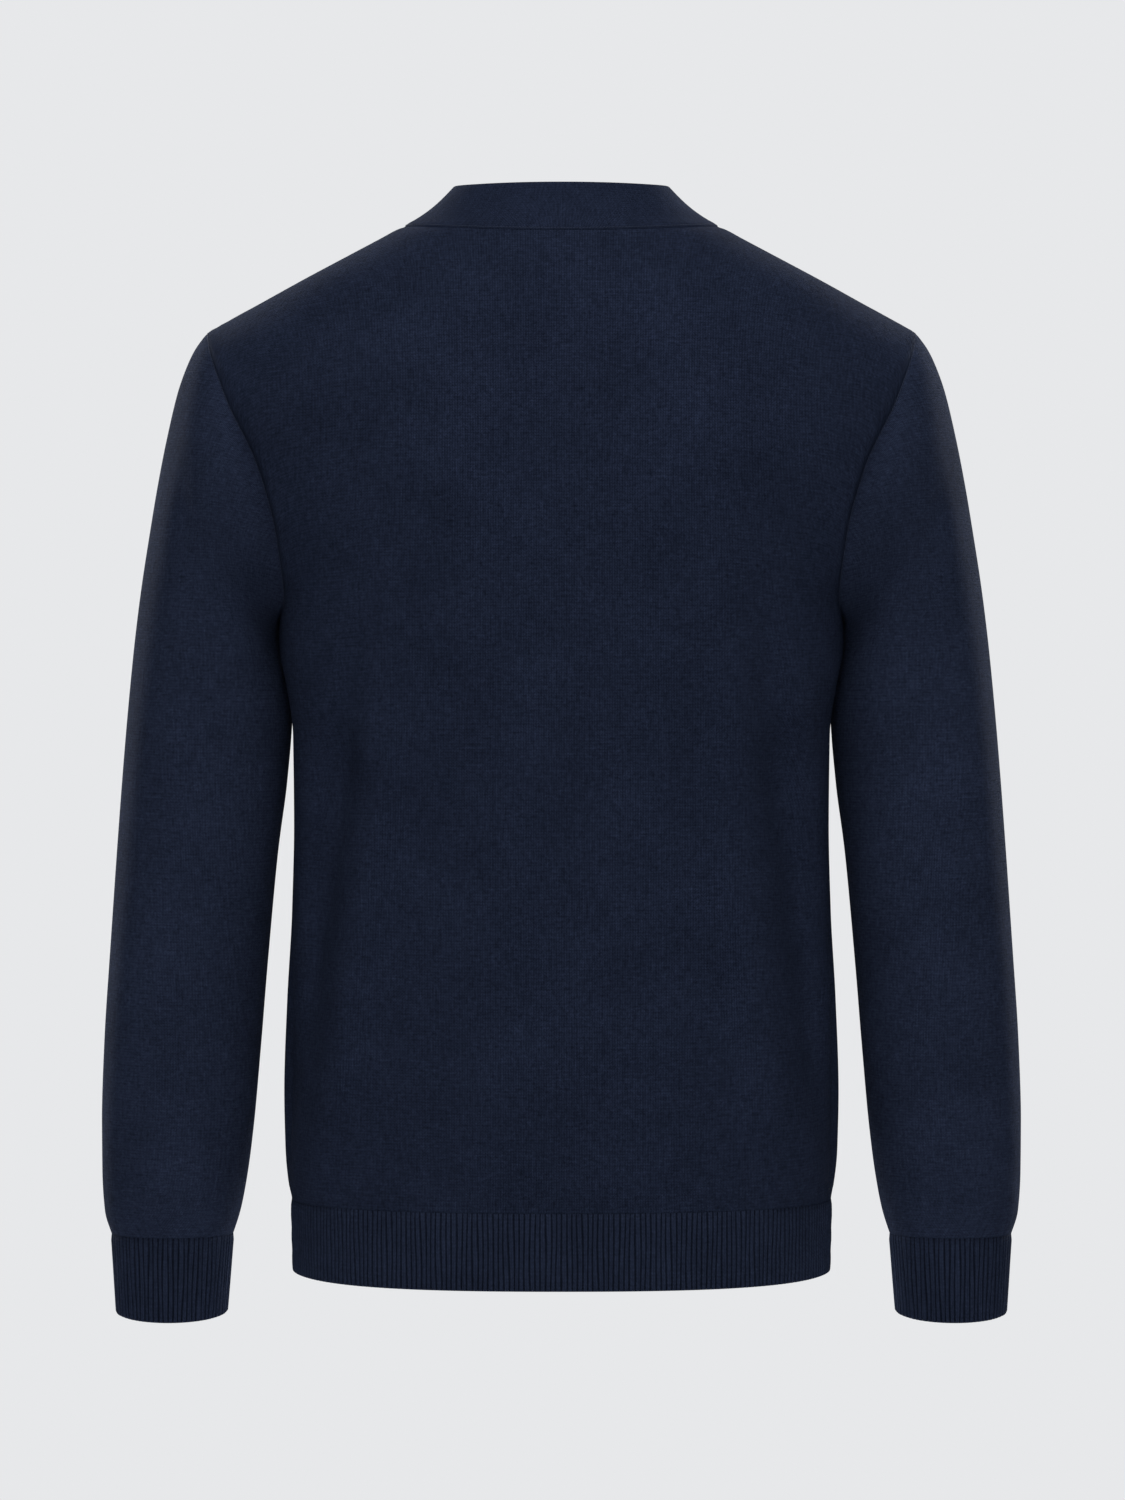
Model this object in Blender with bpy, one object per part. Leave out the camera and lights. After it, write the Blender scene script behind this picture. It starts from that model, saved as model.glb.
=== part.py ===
"""A long-sleeved fine-knit pullover in the hollow form it has when worn.

Metres, +Z up. The origin is midway between the two high points of the shoulders,
where the shoulder seams meet the neckband. The front faces -Y, so +Y is the back
and +X is its left side as worn. Every piece is a wall of knitted cloth: a grid of
outer points, and the same grid moved inwards by the cloth's thickness.
"""

import math
from collections import namedtuple

import bmesh
import bpy
import numpy as np

# ---------------------------------------------------------------- driving sizes
BODY_CLOTH = 0.0020  # thickness of the plain knit
RIB_CLOTH = 0.0022  # thickness of the rib at its grooves
BAND_CLOTH = 0.0032  # the neckband is knitted double
SEAM_GAP = 0.0003  # between the walls of two pieces that are sewn together

HEM_SEAM_Z = -0.639  # where the body meets the hem rib
HEM_Z = -0.686
RIB_RISE = 0.0006  # how far a rib stands out of the grooves beside it

SHOULDER_TIP = (0.2333, -0.0685)  # x and z of the top of the armhole seam
UNDERARM = (0.1860, -0.257)  # x and z of the bottom of the armhole seam
NECK_HALF_WIDTH = 0.104  # from the middle to where shoulder seam meets band
ARMHOLE_HALF_DEPTH = 0.065
BACK_NECK_DROP = 0.0085
FRONT_NECK_DROP = 0.088
FRONT_DROP_START = -0.200  # rows below this height run level
NECK_ROUNDNESS = 1.35  # more makes the neckline flatter at the shoulder seam
SOFTENING = 0.070  # height over which a change of width is spread
SOFT_FROM, SOFT_IN_FULL = -0.500, -0.300  # heights between which it sets in

BAND_HOLLOW = 0.002  # the band curves in between its seam and its edge
SECTION_POWER = 2.35  # 2 is an ellipse; more is squarer
CREASE_ANGLE = math.radians(50)  # sharper edges than this are shaded as edges

# How far the neckband's edge lies inside its seam, and above it.
BandEdge = namedtuple("BandEdge", "lean_in rise")
BAND_SIDE = BandEdge(0.0325, 0.0260)
BAND_BACK = BandEdge(0.0165, 0.0318)
BAND_FRONT = BandEdge(0.0250, 0.0280)

# ------------------------------------------------------------------ grid counts
LOWER_ROWS = [-0.639, -0.627, -0.605, -0.565, -0.510, -0.450, -0.390, -0.334, -0.295, -0.272]
SIDE_COLUMNS = 12  # from the middle of a panel to its side seam
ARMHOLE_STEPS = 10  # along half the armhole seam
SHOULDER_STEPS = 5
BAND_STEPS = 3
HEM_RIBS = 140  # on each of the two halves, 3.4 mm from rib to rib
CUFF_RIBS = 68
FINE_STEPS = 480  # along a curve that is then divided into even columns

# ----------------------------------------------------------------- form tables
# Level sections of the torso. The half width counts below the underarm only;
# above it, the armhole and the shoulder line set the width.
Torso = namedtuple("Torso", "z half_width back front side_y")
TORSO = [
    Torso(-0.690, 0.1764, 0.1095, 0.1085, 0.000),
    Torso(-0.660, 0.1767, 0.1095, 0.1085, 0.000),
    Torso(-0.639, 0.1776, 0.1095, 0.1085, 0.000),
    Torso(-0.628, 0.1802, 0.1120, 0.1110, 0.000),
    Torso(-0.608, 0.1822, 0.1140, 0.1130, 0.000),
    Torso(-0.570, 0.1830, 0.1140, 0.1135, 0.001),
    Torso(-0.509, 0.1810, 0.1110, 0.1130, 0.002),
    Torso(-0.450, 0.1775, 0.1080, 0.1130, 0.004),
    Torso(-0.390, 0.1758, 0.1070, 0.1140, 0.006),
    Torso(-0.334, 0.1762, 0.1090, 0.1170, 0.010),
    Torso(-0.300, 0.1808, 0.1120, 0.1190, 0.012),
    Torso(-0.275, 0.1856, 0.1140, 0.1200, 0.008),
    Torso(-0.257, 0.1860, 0.1150, 0.1205, 0.000),
    Torso(-0.220, 0.1860, 0.1170, 0.1200, 0.000),
    Torso(-0.170, 0.1860, 0.1175, 0.1130, 0.000),
    Torso(-0.120, 0.1860, 0.1130, 0.0990, 0.000),
    Torso(-0.0685, 0.2333, 0.1020, 0.0830, 0.000),
    Torso(-0.035, 0.1700, 0.0870, 0.0680, 0.002),
    Torso(0.000, 0.1070, 0.0670, 0.0580, 0.004),
]

# The armhole seam, by angle from the shoulder tip round to the underarm.
Armhole = namedtuple("Armhole", "degrees x_back x_front")
ARMHOLE = [
    Armhole(0, 0.2333, 0.2333),
    Armhole(30, 0.2300, 0.2270),
    Armhole(60, 0.2180, 0.2110),
    Armhole(90, 0.1985, 0.1920),
    Armhole(120, 0.1865, 0.1835),
    Armhole(150, 0.1820, 0.1810),
    Armhole(180, 0.1860, 0.1860),
]

# Rings of the sleeve from the armhole to the cuff's lower edge. Each lies on the
# line from its outer to its inner point; mid_y and half_depth are front to back.
Ring = namedtuple("Ring", "outer_x outer_z inner_x inner_z mid_y half_depth")
SLEEVE = [
    Ring(0.2333, -0.0685, 0.1860, -0.2570, 0.0000, 0.0650),
    Ring(0.2419, -0.0800, 0.1884, -0.2585, -0.0010, 0.0655),
    Ring(0.2518, -0.1030, 0.1895, -0.2625, -0.0040, 0.0650),
    Ring(0.2603, -0.1360, 0.1888, -0.2690, -0.0080, 0.0630),
    Ring(0.2672, -0.1690, 0.1870, -0.2770, -0.0120, 0.0610),
    Ring(0.2730, -0.2020, 0.1844, -0.2880, -0.0150, 0.0600),
    Ring(0.2783, -0.2350, 0.1813, -0.3040, -0.0170, 0.0590),
    Ring(0.2826, -0.2680, 0.1792, -0.3270, -0.0180, 0.0580),
    Ring(0.2890, -0.3340, 0.1822, -0.3650, -0.0180, 0.0555),
    Ring(0.2942, -0.4030, 0.1882, -0.4120, -0.0165, 0.0525),
    Ring(0.2997, -0.4820, 0.1950, -0.4850, -0.0170, 0.0490),
    Ring(0.3034, -0.5350, 0.1995, -0.5380, -0.0200, 0.0465),
    Ring(0.3058, -0.5900, 0.2047, -0.5920, -0.0265, 0.0435),
    Ring(0.3060, -0.6250, 0.2093, -0.6260, -0.0315, 0.0410),
    Ring(0.3048, -0.6510, 0.2143, -0.6510, -0.0360, 0.0375),
    Ring(0.3006, -0.6670, 0.2194, -0.6670, -0.0390, 0.0340),
]
SLEEVE_ROWS = 18
BOW_LENGTH = 0.22  # share of the sleeve over which the bow of its seam fades
CUFF_END = Ring(0.2978, -0.7200, 0.2244, -0.7200, -0.0465, 0.0315)
CUFF_LEAN = 0.14  # how far the cuff's edge falls at the back, per metre of depth

# Folds that run down the cloth from the shoulder blades and the chest: a raised
# line with a hollow beside it. Places are x from the middle at the top and foot.
# Each starts softly, ends short of its foot and fades before it meets a side seam.
Fold = namedtuple("Fold", "panel side top_z foot_z top_x foot_x rise width")
FOLDS = [
    Fold("back", 1, -0.20, -0.63, 0.120, 0.160, 0.0040, 0.016),
    Fold("back", 1, -0.24, -0.62, 0.141, 0.174, -0.0065, 0.017),
    Fold("back", -1, -0.22, -0.63, 0.108, 0.161, 0.0030, 0.018),
    Fold("back", -1, -0.22, -0.62, 0.133, 0.175, -0.0055, 0.018),
    Fold("front", 1, -0.26, -0.62, 0.100, 0.150, -0.0050, 0.020),
    Fold("front", -1, -0.24, -0.63, 0.094, 0.146, -0.0045, 0.022),
]

FOLD_START, FOLD_END = 0.45, 0.17  # shares of a fold's length
FOLD_LIMIT_X, FOLD_FADE = 0.181, 0.020

NAVY = (0.013, 0.019, 0.036, 1.0)
NAVY_RIB = (0.012, 0.017, 0.032, 1.0)

UP = np.array([0.0, 0.0, 1.0])
LEVEL = np.array([1.0, 1.0, 0.0])  # times a vector, its level part
OTHER_SIDE = np.array([-1.0, 1.0, 1.0])  # times a point, its place on the right


# ----------------------------------------------------------------- small tools
def smooth_table(table, key, column, at):
    """The column's value where key is `at`, on a smooth curve through the rows."""
    keys = [getattr(row, key) for row in table]
    values = [getattr(row, column) for row in table]
    slopes = monotone_slopes(keys, values)
    at = min(max(at, keys[0]), keys[-1])
    i = min(int(np.searchsorted(keys, at, side="right")) - 1, len(keys) - 2)
    return hermite(keys, values, slopes, i, at)


def monotone_slopes(keys, values):
    """Slopes that keep a curve from swinging past its own points."""
    steps = [
        (values[i + 1] - values[i]) / (keys[i + 1] - keys[i])
        for i in range(len(keys) - 1)
    ]
    inner = [
        0.0 if a * b <= 0 else 2 * a * b / (a + b) for a, b in zip(steps, steps[1:])
    ]
    return [steps[0], *inner, steps[-1]]


def hermite(keys, values, slopes, i, at):
    span = keys[i + 1] - keys[i]
    s = (at - keys[i]) / span
    return (
        values[i] * (1 + 2 * s) * (1 - s) ** 2
        + values[i + 1] * s * s * (3 - 2 * s)
        + span * slopes[i] * s * (1 - s) ** 2
        - span * slopes[i + 1] * s * s * (1 - s)
    )


def unit(vector):
    return vector / np.linalg.norm(vector)


def ease(s):
    """0 to 1 with level ends."""
    s = min(max(s, 0.0), 1.0)
    return s * s * (3 - 2 * s)


# ------------------------------------------------------------------- the torso
def armhole_point(panel, angle):
    """A point of the left armhole seam, by angle in radians."""
    middle_z = (SHOULDER_TIP[1] + UNDERARM[1]) / 2
    half_height = (SHOULDER_TIP[1] - UNDERARM[1]) / 2
    side = 1 if panel == "back" else -1
    x = smooth_table(ARMHOLE, "degrees", "x_" + panel, math.degrees(angle))
    y = side * ARMHOLE_HALF_DEPTH * math.sin(angle)
    return np.array([x, y, middle_z + half_height * math.cos(angle)])


def armhole_angle(z):
    middle_z = (SHOULDER_TIP[1] + UNDERARM[1]) / 2
    half_height = (SHOULDER_TIP[1] - UNDERARM[1]) / 2
    return math.acos(min(max((z - middle_z) / half_height, -1.0), 1.0))


def depth_and_side(panel, z):
    """The panel's depth from the side seam's plane, and that plane's y."""
    side_y = smooth_table(TORSO, "z", "side_y", z)
    depth = smooth_table(TORSO, "z", panel, z)
    return (depth - side_y if panel == "back" else depth + side_y), side_y


def edge_of_section(panel, z):
    """Half width of the section at height z, and the angle where the panel ends."""
    if z >= SHOULDER_TIP[1]:
        along = (z - SHOULDER_TIP[1]) / -SHOULDER_TIP[1]
        half_width = SHOULDER_TIP[0] + along * (NECK_HALF_WIDTH - SHOULDER_TIP[0])
        return half_width, math.pi / 2
    if z <= UNDERARM[1]:
        return smooth_table(TORSO, "z", "half_width", z), math.pi / 2
    x, y, _ = armhole_point(panel, armhole_angle(z))
    depth, side_y = depth_and_side(panel, z)
    share = min(abs(y - side_y) / depth, 0.95)
    half_width = x / (1 - share**SECTION_POWER) ** (1 / SECTION_POWER)
    return half_width, math.acos(share ** (SECTION_POWER / 2))


def section_depth(x, half_width):
    """Share of the full depth that a section has at x."""
    inside = max(1 - (x / half_width) ** SECTION_POWER, 0.0)
    return inside ** (1 / SECTION_POWER)


def fold_height(panel, x, z):
    """How far the folds lift the cloth at this place."""
    height = 0.0
    for fold in FOLDS:
        if fold.panel != panel or x * fold.side <= 0:
            continue
        down = (fold.top_z - z) / (fold.top_z - fold.foot_z)
        if not 0 < down < 1:
            continue
        line = fold.top_x + (fold.foot_x - fold.top_x) * down**1.5
        fade = ease(down / FOLD_START) * ease((1 - down) / FOLD_END)
        fade *= ease((FOLD_LIMIT_X - abs(x)) / FOLD_FADE)
        height += fold.rise * fade * math.exp(-(((abs(x) - line) / fold.width) ** 2))
    return height


def neck_share(panel, edge_z):
    """How much a row follows the neckline: 1 at the seam, 0 where rows run level."""
    start = SHOULDER_TIP[1] if panel == "back" else FRONT_DROP_START
    return max((edge_z - start) / -start, 0.0) ** 1.5


def crisp_point(panel, across, edge_z):
    """A point of the torso before its corners are softened."""
    width_at_edge, end = edge_of_section(panel, edge_z)
    share = neck_share(panel, edge_z)
    power = 2 / SECTION_POWER
    x = width_at_edge * math.sin(across * end) ** (power + (1 - power) * share)
    drop = share * (BACK_NECK_DROP if panel == "back" else FRONT_NECK_DROP)
    middle = max(math.cos(across * math.pi / 2), 0.0)
    z = edge_z - drop * middle ** (NECK_ROUNDNESS + 5 * (1 - share))
    depth, side_y = depth_and_side(panel, z)
    y = depth * section_depth(x, edge_of_section(panel, z)[0])
    towards = 1 if panel == "back" else -1
    return np.array([x, side_y + towards * y, z])


def torso_point(panel, across, edge_z, side=1):
    """A point at a share of the way from the middle of a row to its edge.

    The line of each column is averaged over a height that shrinks to nothing at
    the panel's seams, so that no ridge runs in from the shoulder or the underarm.
    """
    set_in = ease((edge_z - SOFT_FROM) / (SOFT_IN_FULL - SOFT_FROM))
    reach = min(SOFTENING * (1 - across**5) * set_in, -edge_z)
    steps = [-1, -0.75, -0.5, -0.25, 0, 0.25, 0.5, 0.75, 1]
    weights = [1.1 - abs(step) for step in steps]
    points = [crisp_point(panel, across, edge_z + reach * step) for step in steps]
    point = sum(w * p for w, p in zip(weights, points)) / sum(weights)
    towards = 1 if panel == "back" else -1
    lift = fold_height(panel, side * point[0], point[2])
    return point * np.array([side, 1, 1]) + np.array([0, towards * lift, 0])


def torso_normal(panel, across, edge_z):
    """Outward normal on the garment's left half."""
    step = 0.002
    across = min(max(across, 0.01), 0.985)
    low, high = (edge_z - step, min(edge_z + step, 0.0))
    along = torso_point(panel, across + 0.01, edge_z)
    along = along - torso_point(panel, across - 0.01, edge_z)
    up = torso_point(panel, across, high) - torso_point(panel, across, low)
    towards = 1 if panel == "back" else -1
    return towards * unit(np.cross(up, along))


def panel_rows():
    """Heights of a panel's rows at its edge, from the hem seam to the neck."""
    turns = [math.pi * (1 - i / ARMHOLE_STEPS) for i in range(ARMHOLE_STEPS + 1)]
    armhole = [armhole_point("back", a)[2] for a in turns]
    shoulder = [
        SHOULDER_TIP[1] * (1 - i / SHOULDER_STEPS) for i in range(1, SHOULDER_STEPS + 1)
    ]
    return LOWER_ROWS + armhole + shoulder


# ----------------------------------------------------------------- the sleeves
def sleeve_ring(station):
    """The ring at a station from 0, the armhole, to 1, the cuff seam."""
    rows = len(SLEEVE) - 1
    Numbered = namedtuple("Numbered", ("place", *Ring._fields))
    table = [Numbered(i / rows, *ring) for i, ring in enumerate(SLEEVE)]
    return Ring(*(smooth_table(table, "place", name, station) for name in Ring._fields))


def ring_point(ring, angle):
    """A point of a ring: angle 0 is outermost, and a quarter turn is the back."""
    outer = np.array([ring.outer_x, ring.mid_y, ring.outer_z])
    inner = np.array([ring.inner_x, ring.mid_y, ring.inner_z])
    depth = np.array([0.0, ring.half_depth, 0.0])
    middle, reach = (outer + inner) / 2, (outer - inner) / 2
    return middle + reach * math.cos(angle) + depth * math.sin(angle)


def sleeve_point(station, angle):
    """Near the armhole a ring keeps the bow of the armhole seam."""
    point = ring_point(sleeve_ring(station), angle)
    panel = "back" if math.sin(angle) >= 0 else "front"
    round_the_seam = math.acos(min(max(math.cos(angle), -1.0), 1.0))
    bow = armhole_point(panel, round_the_seam) - ring_point(SLEEVE[0], angle)
    return point + bow * (1 - ease(station / BOW_LENGTH))


def sleeve_normal(station, angle):
    step = 0.004
    station = min(max(station, step), 1 - step)
    along = sleeve_point(station + step, angle) - sleeve_point(station - step, angle)
    round_it = sleeve_point(station, angle + 0.02) - sleeve_point(station, angle - 0.02)
    return unit(np.cross(along, round_it))


# -------------------------------------------------------------------- the seams
def seam_frame(point_before, point_after, outward, other_outward):
    """(inward direction, direction across) of a seam that two pieces share."""
    tangent = unit(point_after - point_before)
    inward = -(outward + other_outward)
    inward = unit(inward - tangent * (inward @ tangent))
    return inward, unit(np.cross(inward, tangent))


def armhole_frame(panel, angle):
    """The armhole seam's inward direction, and the way from body to sleeve."""
    step = 0.03
    before = armhole_point(panel, max(angle - step, 0.0))
    after = armhole_point(panel, min(angle + step, math.pi))
    if angle < step or angle > math.pi - step:
        before, after = np.array([0.0, -1.0, 0.0]), np.array([0.0, 1.0, 0.0])
    z = armhole_point(panel, angle)[2]
    round_it = angle if panel == "back" else -angle
    inward, across = seam_frame(
        before,
        after,
        torso_normal(panel, 1.0, z),
        sleeve_normal(0.0, round_it),
    )
    return inward, across if across[0] > 0 else -across


# -------------------------------------------------------------- walls of cloth
def rim_faces(mesh, outer_a, outer_b, inner_a, inner_b):
    """The wall's edge between two outer points and the inner points behind them.

    It is split from the lower outer point, so that two pieces sewn together are
    split alike and the gap between them stays even.
    """
    if outer_b.co.z < outer_a.co.z:
        outer_a, outer_b, inner_a, inner_b = outer_b, outer_a, inner_b, inner_a
    mesh.faces.new((outer_a, outer_b, inner_b))
    mesh.faces.new((outer_a, inner_b, inner_a))


def wall_object(name, outer, inner, material, ring=False):
    """One closed wall between two grids of points, rows by columns."""
    mesh = bmesh.new()
    rows, columns = len(outer), len(outer[0])
    outside = [[mesh.verts.new(p) for p in row] for row in outer]
    inside = [[mesh.verts.new(p) for p in row] for row in inner]
    last = columns if ring else columns - 1
    for j in range(last):
        k = (j + 1) % columns
        for i in range(rows - 1):
            for grid in (outside, inside):
                corners = (grid[i][j], grid[i][k], grid[i + 1][k], grid[i + 1][j])
                mesh.faces.new(corners)
        for i in (0, rows - 1):
            rim_faces(mesh, outside[i][j], outside[i][k], inside[i][j], inside[i][k])
    for j in () if ring else (0, columns - 1):
        for i in range(rows - 1):
            k = i + 1
            rim_faces(mesh, outside[i][j], outside[k][j], inside[i][j], inside[k][j])
    bmesh.ops.recalc_face_normals(mesh, faces=mesh.faces)
    if mesh.calc_volume(signed=True) < 0:
        bmesh.ops.reverse_faces(mesh, faces=mesh.faces)
    data = bpy.data.meshes.new(name)
    mesh.to_mesh(data)
    mesh.free()
    data.materials.append(material)
    data.shade_smooth()
    data.set_sharp_from_angle(angle=CREASE_ANGLE)
    made = bpy.data.objects.new(name, data)
    GARMENT.objects.link(made)
    return made


def mirrored(grid):
    """The same grid on the garment's right, its columns in the same order."""
    return [[point * OTHER_SIDE for point in row] for row in grid]


def cloth_material(name, colour):
    material = bpy.data.materials.new(name)
    material.use_nodes = True
    shader = material.node_tree.nodes["Principled BSDF"]
    shader.inputs["Base Color"].default_value = colour
    shader.inputs["Roughness"].default_value = 0.9
    shader.inputs["Metallic"].default_value = 0.0
    return material


# ------------------------------------------------------------------ the pieces
def half_panel(panel, side):
    """Outer and inner grids of a panel from its middle to one side."""
    outer, inner = [], []
    gap_y = SEAM_GAP / 2 * (1 if panel == "back" else -1)
    rows = panel_rows()
    for number, edge_z in enumerate(rows):
        outer_row, inner_row = [], []
        for column in range(SIDE_COLUMNS + 1):
            across = column / SIDE_COLUMNS
            point = torso_point(panel, across, edge_z, side)
            inward = -torso_normal(panel, across, edge_z)
            if column == 0:
                inward[0] = 0.0
                inward = unit(inward)
            shift = np.zeros(3)
            if column == SIDE_COLUMNS:
                inward, shift = side_seam(panel, edge_z, inward, gap_y)
            if number == 0:
                inward = unit(inward * LEVEL)
                shift = shift + UP * SEAM_GAP / 2
            if number == len(rows) - 1:
                inward, down = neck_frame(panel, across)
                shift = shift + down * (SEAM_GAP / 2)
            flip = np.array([side, 1.0, 1.0])
            outer_row.append(point + shift * flip)
            inner_row.append(point + (shift + inward * BODY_CLOTH) * flip)
        outer.append(outer_row)
        inner.append(inner_row)
    return outer, inner


def side_seam(panel, edge_z, inward, gap_y):
    """Inward direction and shift at the panel's edge, by the seam it lies on."""
    if UNDERARM[1] < edge_z < SHOULDER_TIP[1]:
        inward, across = armhole_frame(panel, armhole_angle(edge_z))
        return inward, -across * SEAM_GAP / 2
    if abs(edge_z - UNDERARM[1]) < 1e-6 or abs(edge_z - SHOULDER_TIP[1]) < 1e-6:
        inward, across = armhole_frame(panel, armhole_angle(edge_z))
        return inward, -across * SEAM_GAP / 2 + np.array([0.0, gap_y, 0.0])
    inward = unit(inward * np.array([1.0, 0.0, 1.0]))
    return inward, np.array([0.0, gap_y, 0.0])


def panel_object(panel, material):
    """A whole panel, from its right side seam to its left one."""
    left_outer, left_inner = half_panel(panel, 1)
    right_outer, right_inner = half_panel(panel, -1)
    outer = [r[:0:-1] + l for r, l in zip(right_outer, left_outer)]
    inner = [r[:0:-1] + l for r, l in zip(right_inner, left_inner)]
    return wall_object(panel, outer, inner, material)


def neck_seam(panel, across):
    """A point of the left half of the neck seam."""
    return torso_point(panel, across, 0.0)


def neck_tangent(panel, across):
    """Direction of the left half of the neck seam, from back to front."""
    step = 0.01
    if across > 1 - step:
        return unit(neck_seam("front", 1 - step) - neck_seam("back", 1 - step))
    ahead = neck_seam(panel, across + step)
    behind = neck_seam(panel, abs(across - step))
    if across < step:
        behind = behind * OTHER_SIDE
    return unit(ahead - behind) * (1 if panel == "back" else -1)


def band_point(panel, across, up):
    """A point of the neckband, `up` being the share of its width from the seam."""
    seam = neck_seam(panel, across)
    middle = math.cos(across * math.pi / 2) ** 2
    centre = BAND_BACK if panel == "back" else BAND_FRONT
    side_scale = 1 - BAND_SIDE.lean_in / NECK_HALF_WIDTH
    depth_scale = 1 - centre.lean_in / abs(neck_seam(panel, 0.0)[1])
    rise = BAND_SIDE.rise + (centre.rise - BAND_SIDE.rise) * middle
    top = seam * np.array([side_scale, depth_scale, 1]) + UP * rise
    return seam + (top - seam) * up


def band_normal(panel, across):
    rise = band_point(panel, across, 1.0) - band_point(panel, across, 0.0)
    normal = np.cross(rise, neck_tangent(panel, across))
    return unit(normal) if normal[2] > 0 else -unit(normal)


def neck_frame(panel, across):
    """The neck seam's inward direction, and the way from the band to the body."""
    outward = torso_normal(panel, across, 0.0)
    if across > 0.9:
        outward = unit(outward * np.array([1.0, 1 - (across - 0.9) * 10, 1.0]))
    tangent = neck_tangent(panel, across)
    inward, over = seam_frame(-tangent, tangent, outward, band_normal(panel, across))
    rise = band_point(panel, across, 1.0) - band_point(panel, across, 0.0)
    away = over if over @ rise < 0 else -over
    return inward, away


def neckband(material):
    """A double band round the neck, leaning in with the slope of the neck."""
    quarter = [i / SIDE_COLUMNS for i in range(SIDE_COLUMNS + 1)]
    left = [("back", a) for a in quarter] + [("front", a) for a in quarter[-2::-1]]
    outer, inner = [], []
    for step in range(BAND_STEPS + 1):
        up = step / BAND_STEPS
        outer_row, inner_row = [], []
        for panel, across in left:
            inward, away = neck_frame(panel, across)
            normal = band_normal(panel, across)
            hollow = normal * BAND_HOLLOW * math.sin(math.pi * up)
            direction = unit(inward * (1 - ease(up * 3)) - normal * ease(up * 3))
            point = band_point(panel, across, up) - away * SEAM_GAP / 2 - hollow
            outer_row.append(point)
            inner_row.append(point + direction * BAND_CLOTH)
        outer.append(outer_row + mirrored([outer_row[-2:0:-1]])[0])
        inner.append(inner_row + mirrored([inner_row[-2:0:-1]])[0])
    return wall_object("neckband", outer, inner, material, ring=True)


def sleeve(name, side, material):
    """A sleeve as one tube, from the armhole seam to the cuff seam."""
    turns = [math.pi * i / ARMHOLE_STEPS for i in range(2 * ARMHOLE_STEPS)]
    outer, inner = [], []
    for row in range(SLEEVE_ROWS + 1):
        station = row / SLEEVE_ROWS
        outer_row, inner_row = [], []
        for angle in turns:
            point = sleeve_point(station, angle)
            inward = -sleeve_normal(station, angle)
            if row == 0:
                panel = "back" if angle <= math.pi else "front"
                seam_angle = min(angle, 2 * math.pi - angle)
                inward, across = armhole_frame(panel, seam_angle)
                point = point + across * SEAM_GAP / 2
            if row == SLEEVE_ROWS:
                inward = unit(inward * LEVEL)
                point = point + UP * SEAM_GAP / 2
            outer_row.append(point)
            inner_row.append(point + inward * BODY_CLOTH)
        outer.append(outer_row)
        inner.append(inner_row)
    if side < 0:
        outer, inner = mirrored(outer), mirrored(inner)
    return wall_object(name, outer, inner, material, ring=True)


def ribbed_grids(base_rows, inward_of, thickness, rise):
    """Outer points ridged column by column, over a plain inside."""
    outer, inner = [], []
    for row in base_rows:
        outer_row, inner_row = [], []
        for column, point in enumerate(row):
            inward = inward_of(row, column)
            ridge = rise if column % 2 else 0.0
            outer_row.append(point - inward * ridge)
            inner_row.append(point + inward * thickness)
        outer.append(outer_row)
        inner.append(inner_row)
    return outer, inner


def even_columns(point_at, low, high, count):
    """count + 1 points at even distances along a curve."""
    fine = [point_at(low + (high - low) * i / FINE_STEPS) for i in range(FINE_STEPS + 1)]
    lengths = [np.linalg.norm(b - a) for a, b in zip(fine, fine[1:])]
    along = np.concatenate([[0.0], np.cumsum(lengths)])
    wanted = np.linspace(0.0, along[-1], count + 1)
    return [
        np.array([np.interp(w, along, [p[k] for p in fine]) for k in range(3)])
        for w in wanted
    ]


def hem_rib(panel, material):
    """Half of the ribbed hem, knitted on below its panel."""
    towards = 1 if panel == "back" else -1

    def on_section(turn, z):
        side = 1 if turn >= 0 else -1
        return torso_point(panel, abs(turn), z, side)

    rows = []
    gap = np.array([0.0, towards * SEAM_GAP / 2, 0.0])
    for z in (HEM_Z, HEM_SEAM_Z - SEAM_GAP / 2):
        columns = even_columns(
            lambda turn, z=z: on_section(turn, z), -1.0, 1.0, 2 * HEM_RIBS
        )
        columns[0], columns[-1] = columns[0] + gap, columns[-1] + gap
        rows.append(columns)

    def inward_of(row, column):
        if column in (0, len(row) - 1):
            return np.array([-1.0 if row[column][0] > 0 else 1.0, 0.0, 0.0])
        along = unit(row[column + 1] - row[column - 1])
        across = np.cross(along, UP)
        return across if across @ row[column] < 0 else -across

    outer, inner = ribbed_grids(rows, inward_of, RIB_CLOTH, RIB_RISE)
    return wall_object("hem_rib_" + panel, outer, inner, material)


def cuff(name, side, material):
    """A ribbed tube below the sleeve, its edge falling a little at the back."""
    top = SLEEVE[-1]
    rows = []
    for ring, lean in ((top, 0.0), (CUFF_END, CUFF_LEAN)):
        columns = even_columns(
            lambda turn, ring=ring: ring_point(ring, turn), 0.0, 2 * math.pi, 2 * CUFF_RIBS
        )[:-1]
        drop = SEAM_GAP / 2 if ring is top else 0.0
        rows.append(
            [p - np.array([0.0, 0.0, drop + lean * (p[1] - ring.mid_y)]) for p in columns]
        )

    def inward_of(row, column):
        along = unit(row[(column + 1) % len(row)] - row[column - 1])
        along = unit(along * LEVEL)
        across = np.cross(along, UP)
        middle = sum(row) / len(row)
        return across if across @ (middle - row[column]) > 0 else -across

    outer, inner = ribbed_grids(rows, inward_of, RIB_CLOTH, RIB_RISE)
    if side < 0:
        outer, inner = mirrored(outer), mirrored(inner)
    return wall_object(name, outer, inner, material, ring=True)


# ------------------------------------------------------------------ the garment
for old in list(bpy.data.objects):
    bpy.data.objects.remove(old)

GARMENT = bpy.data.collections.new("pullover")
bpy.context.scene.collection.children.link(GARMENT)

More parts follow.
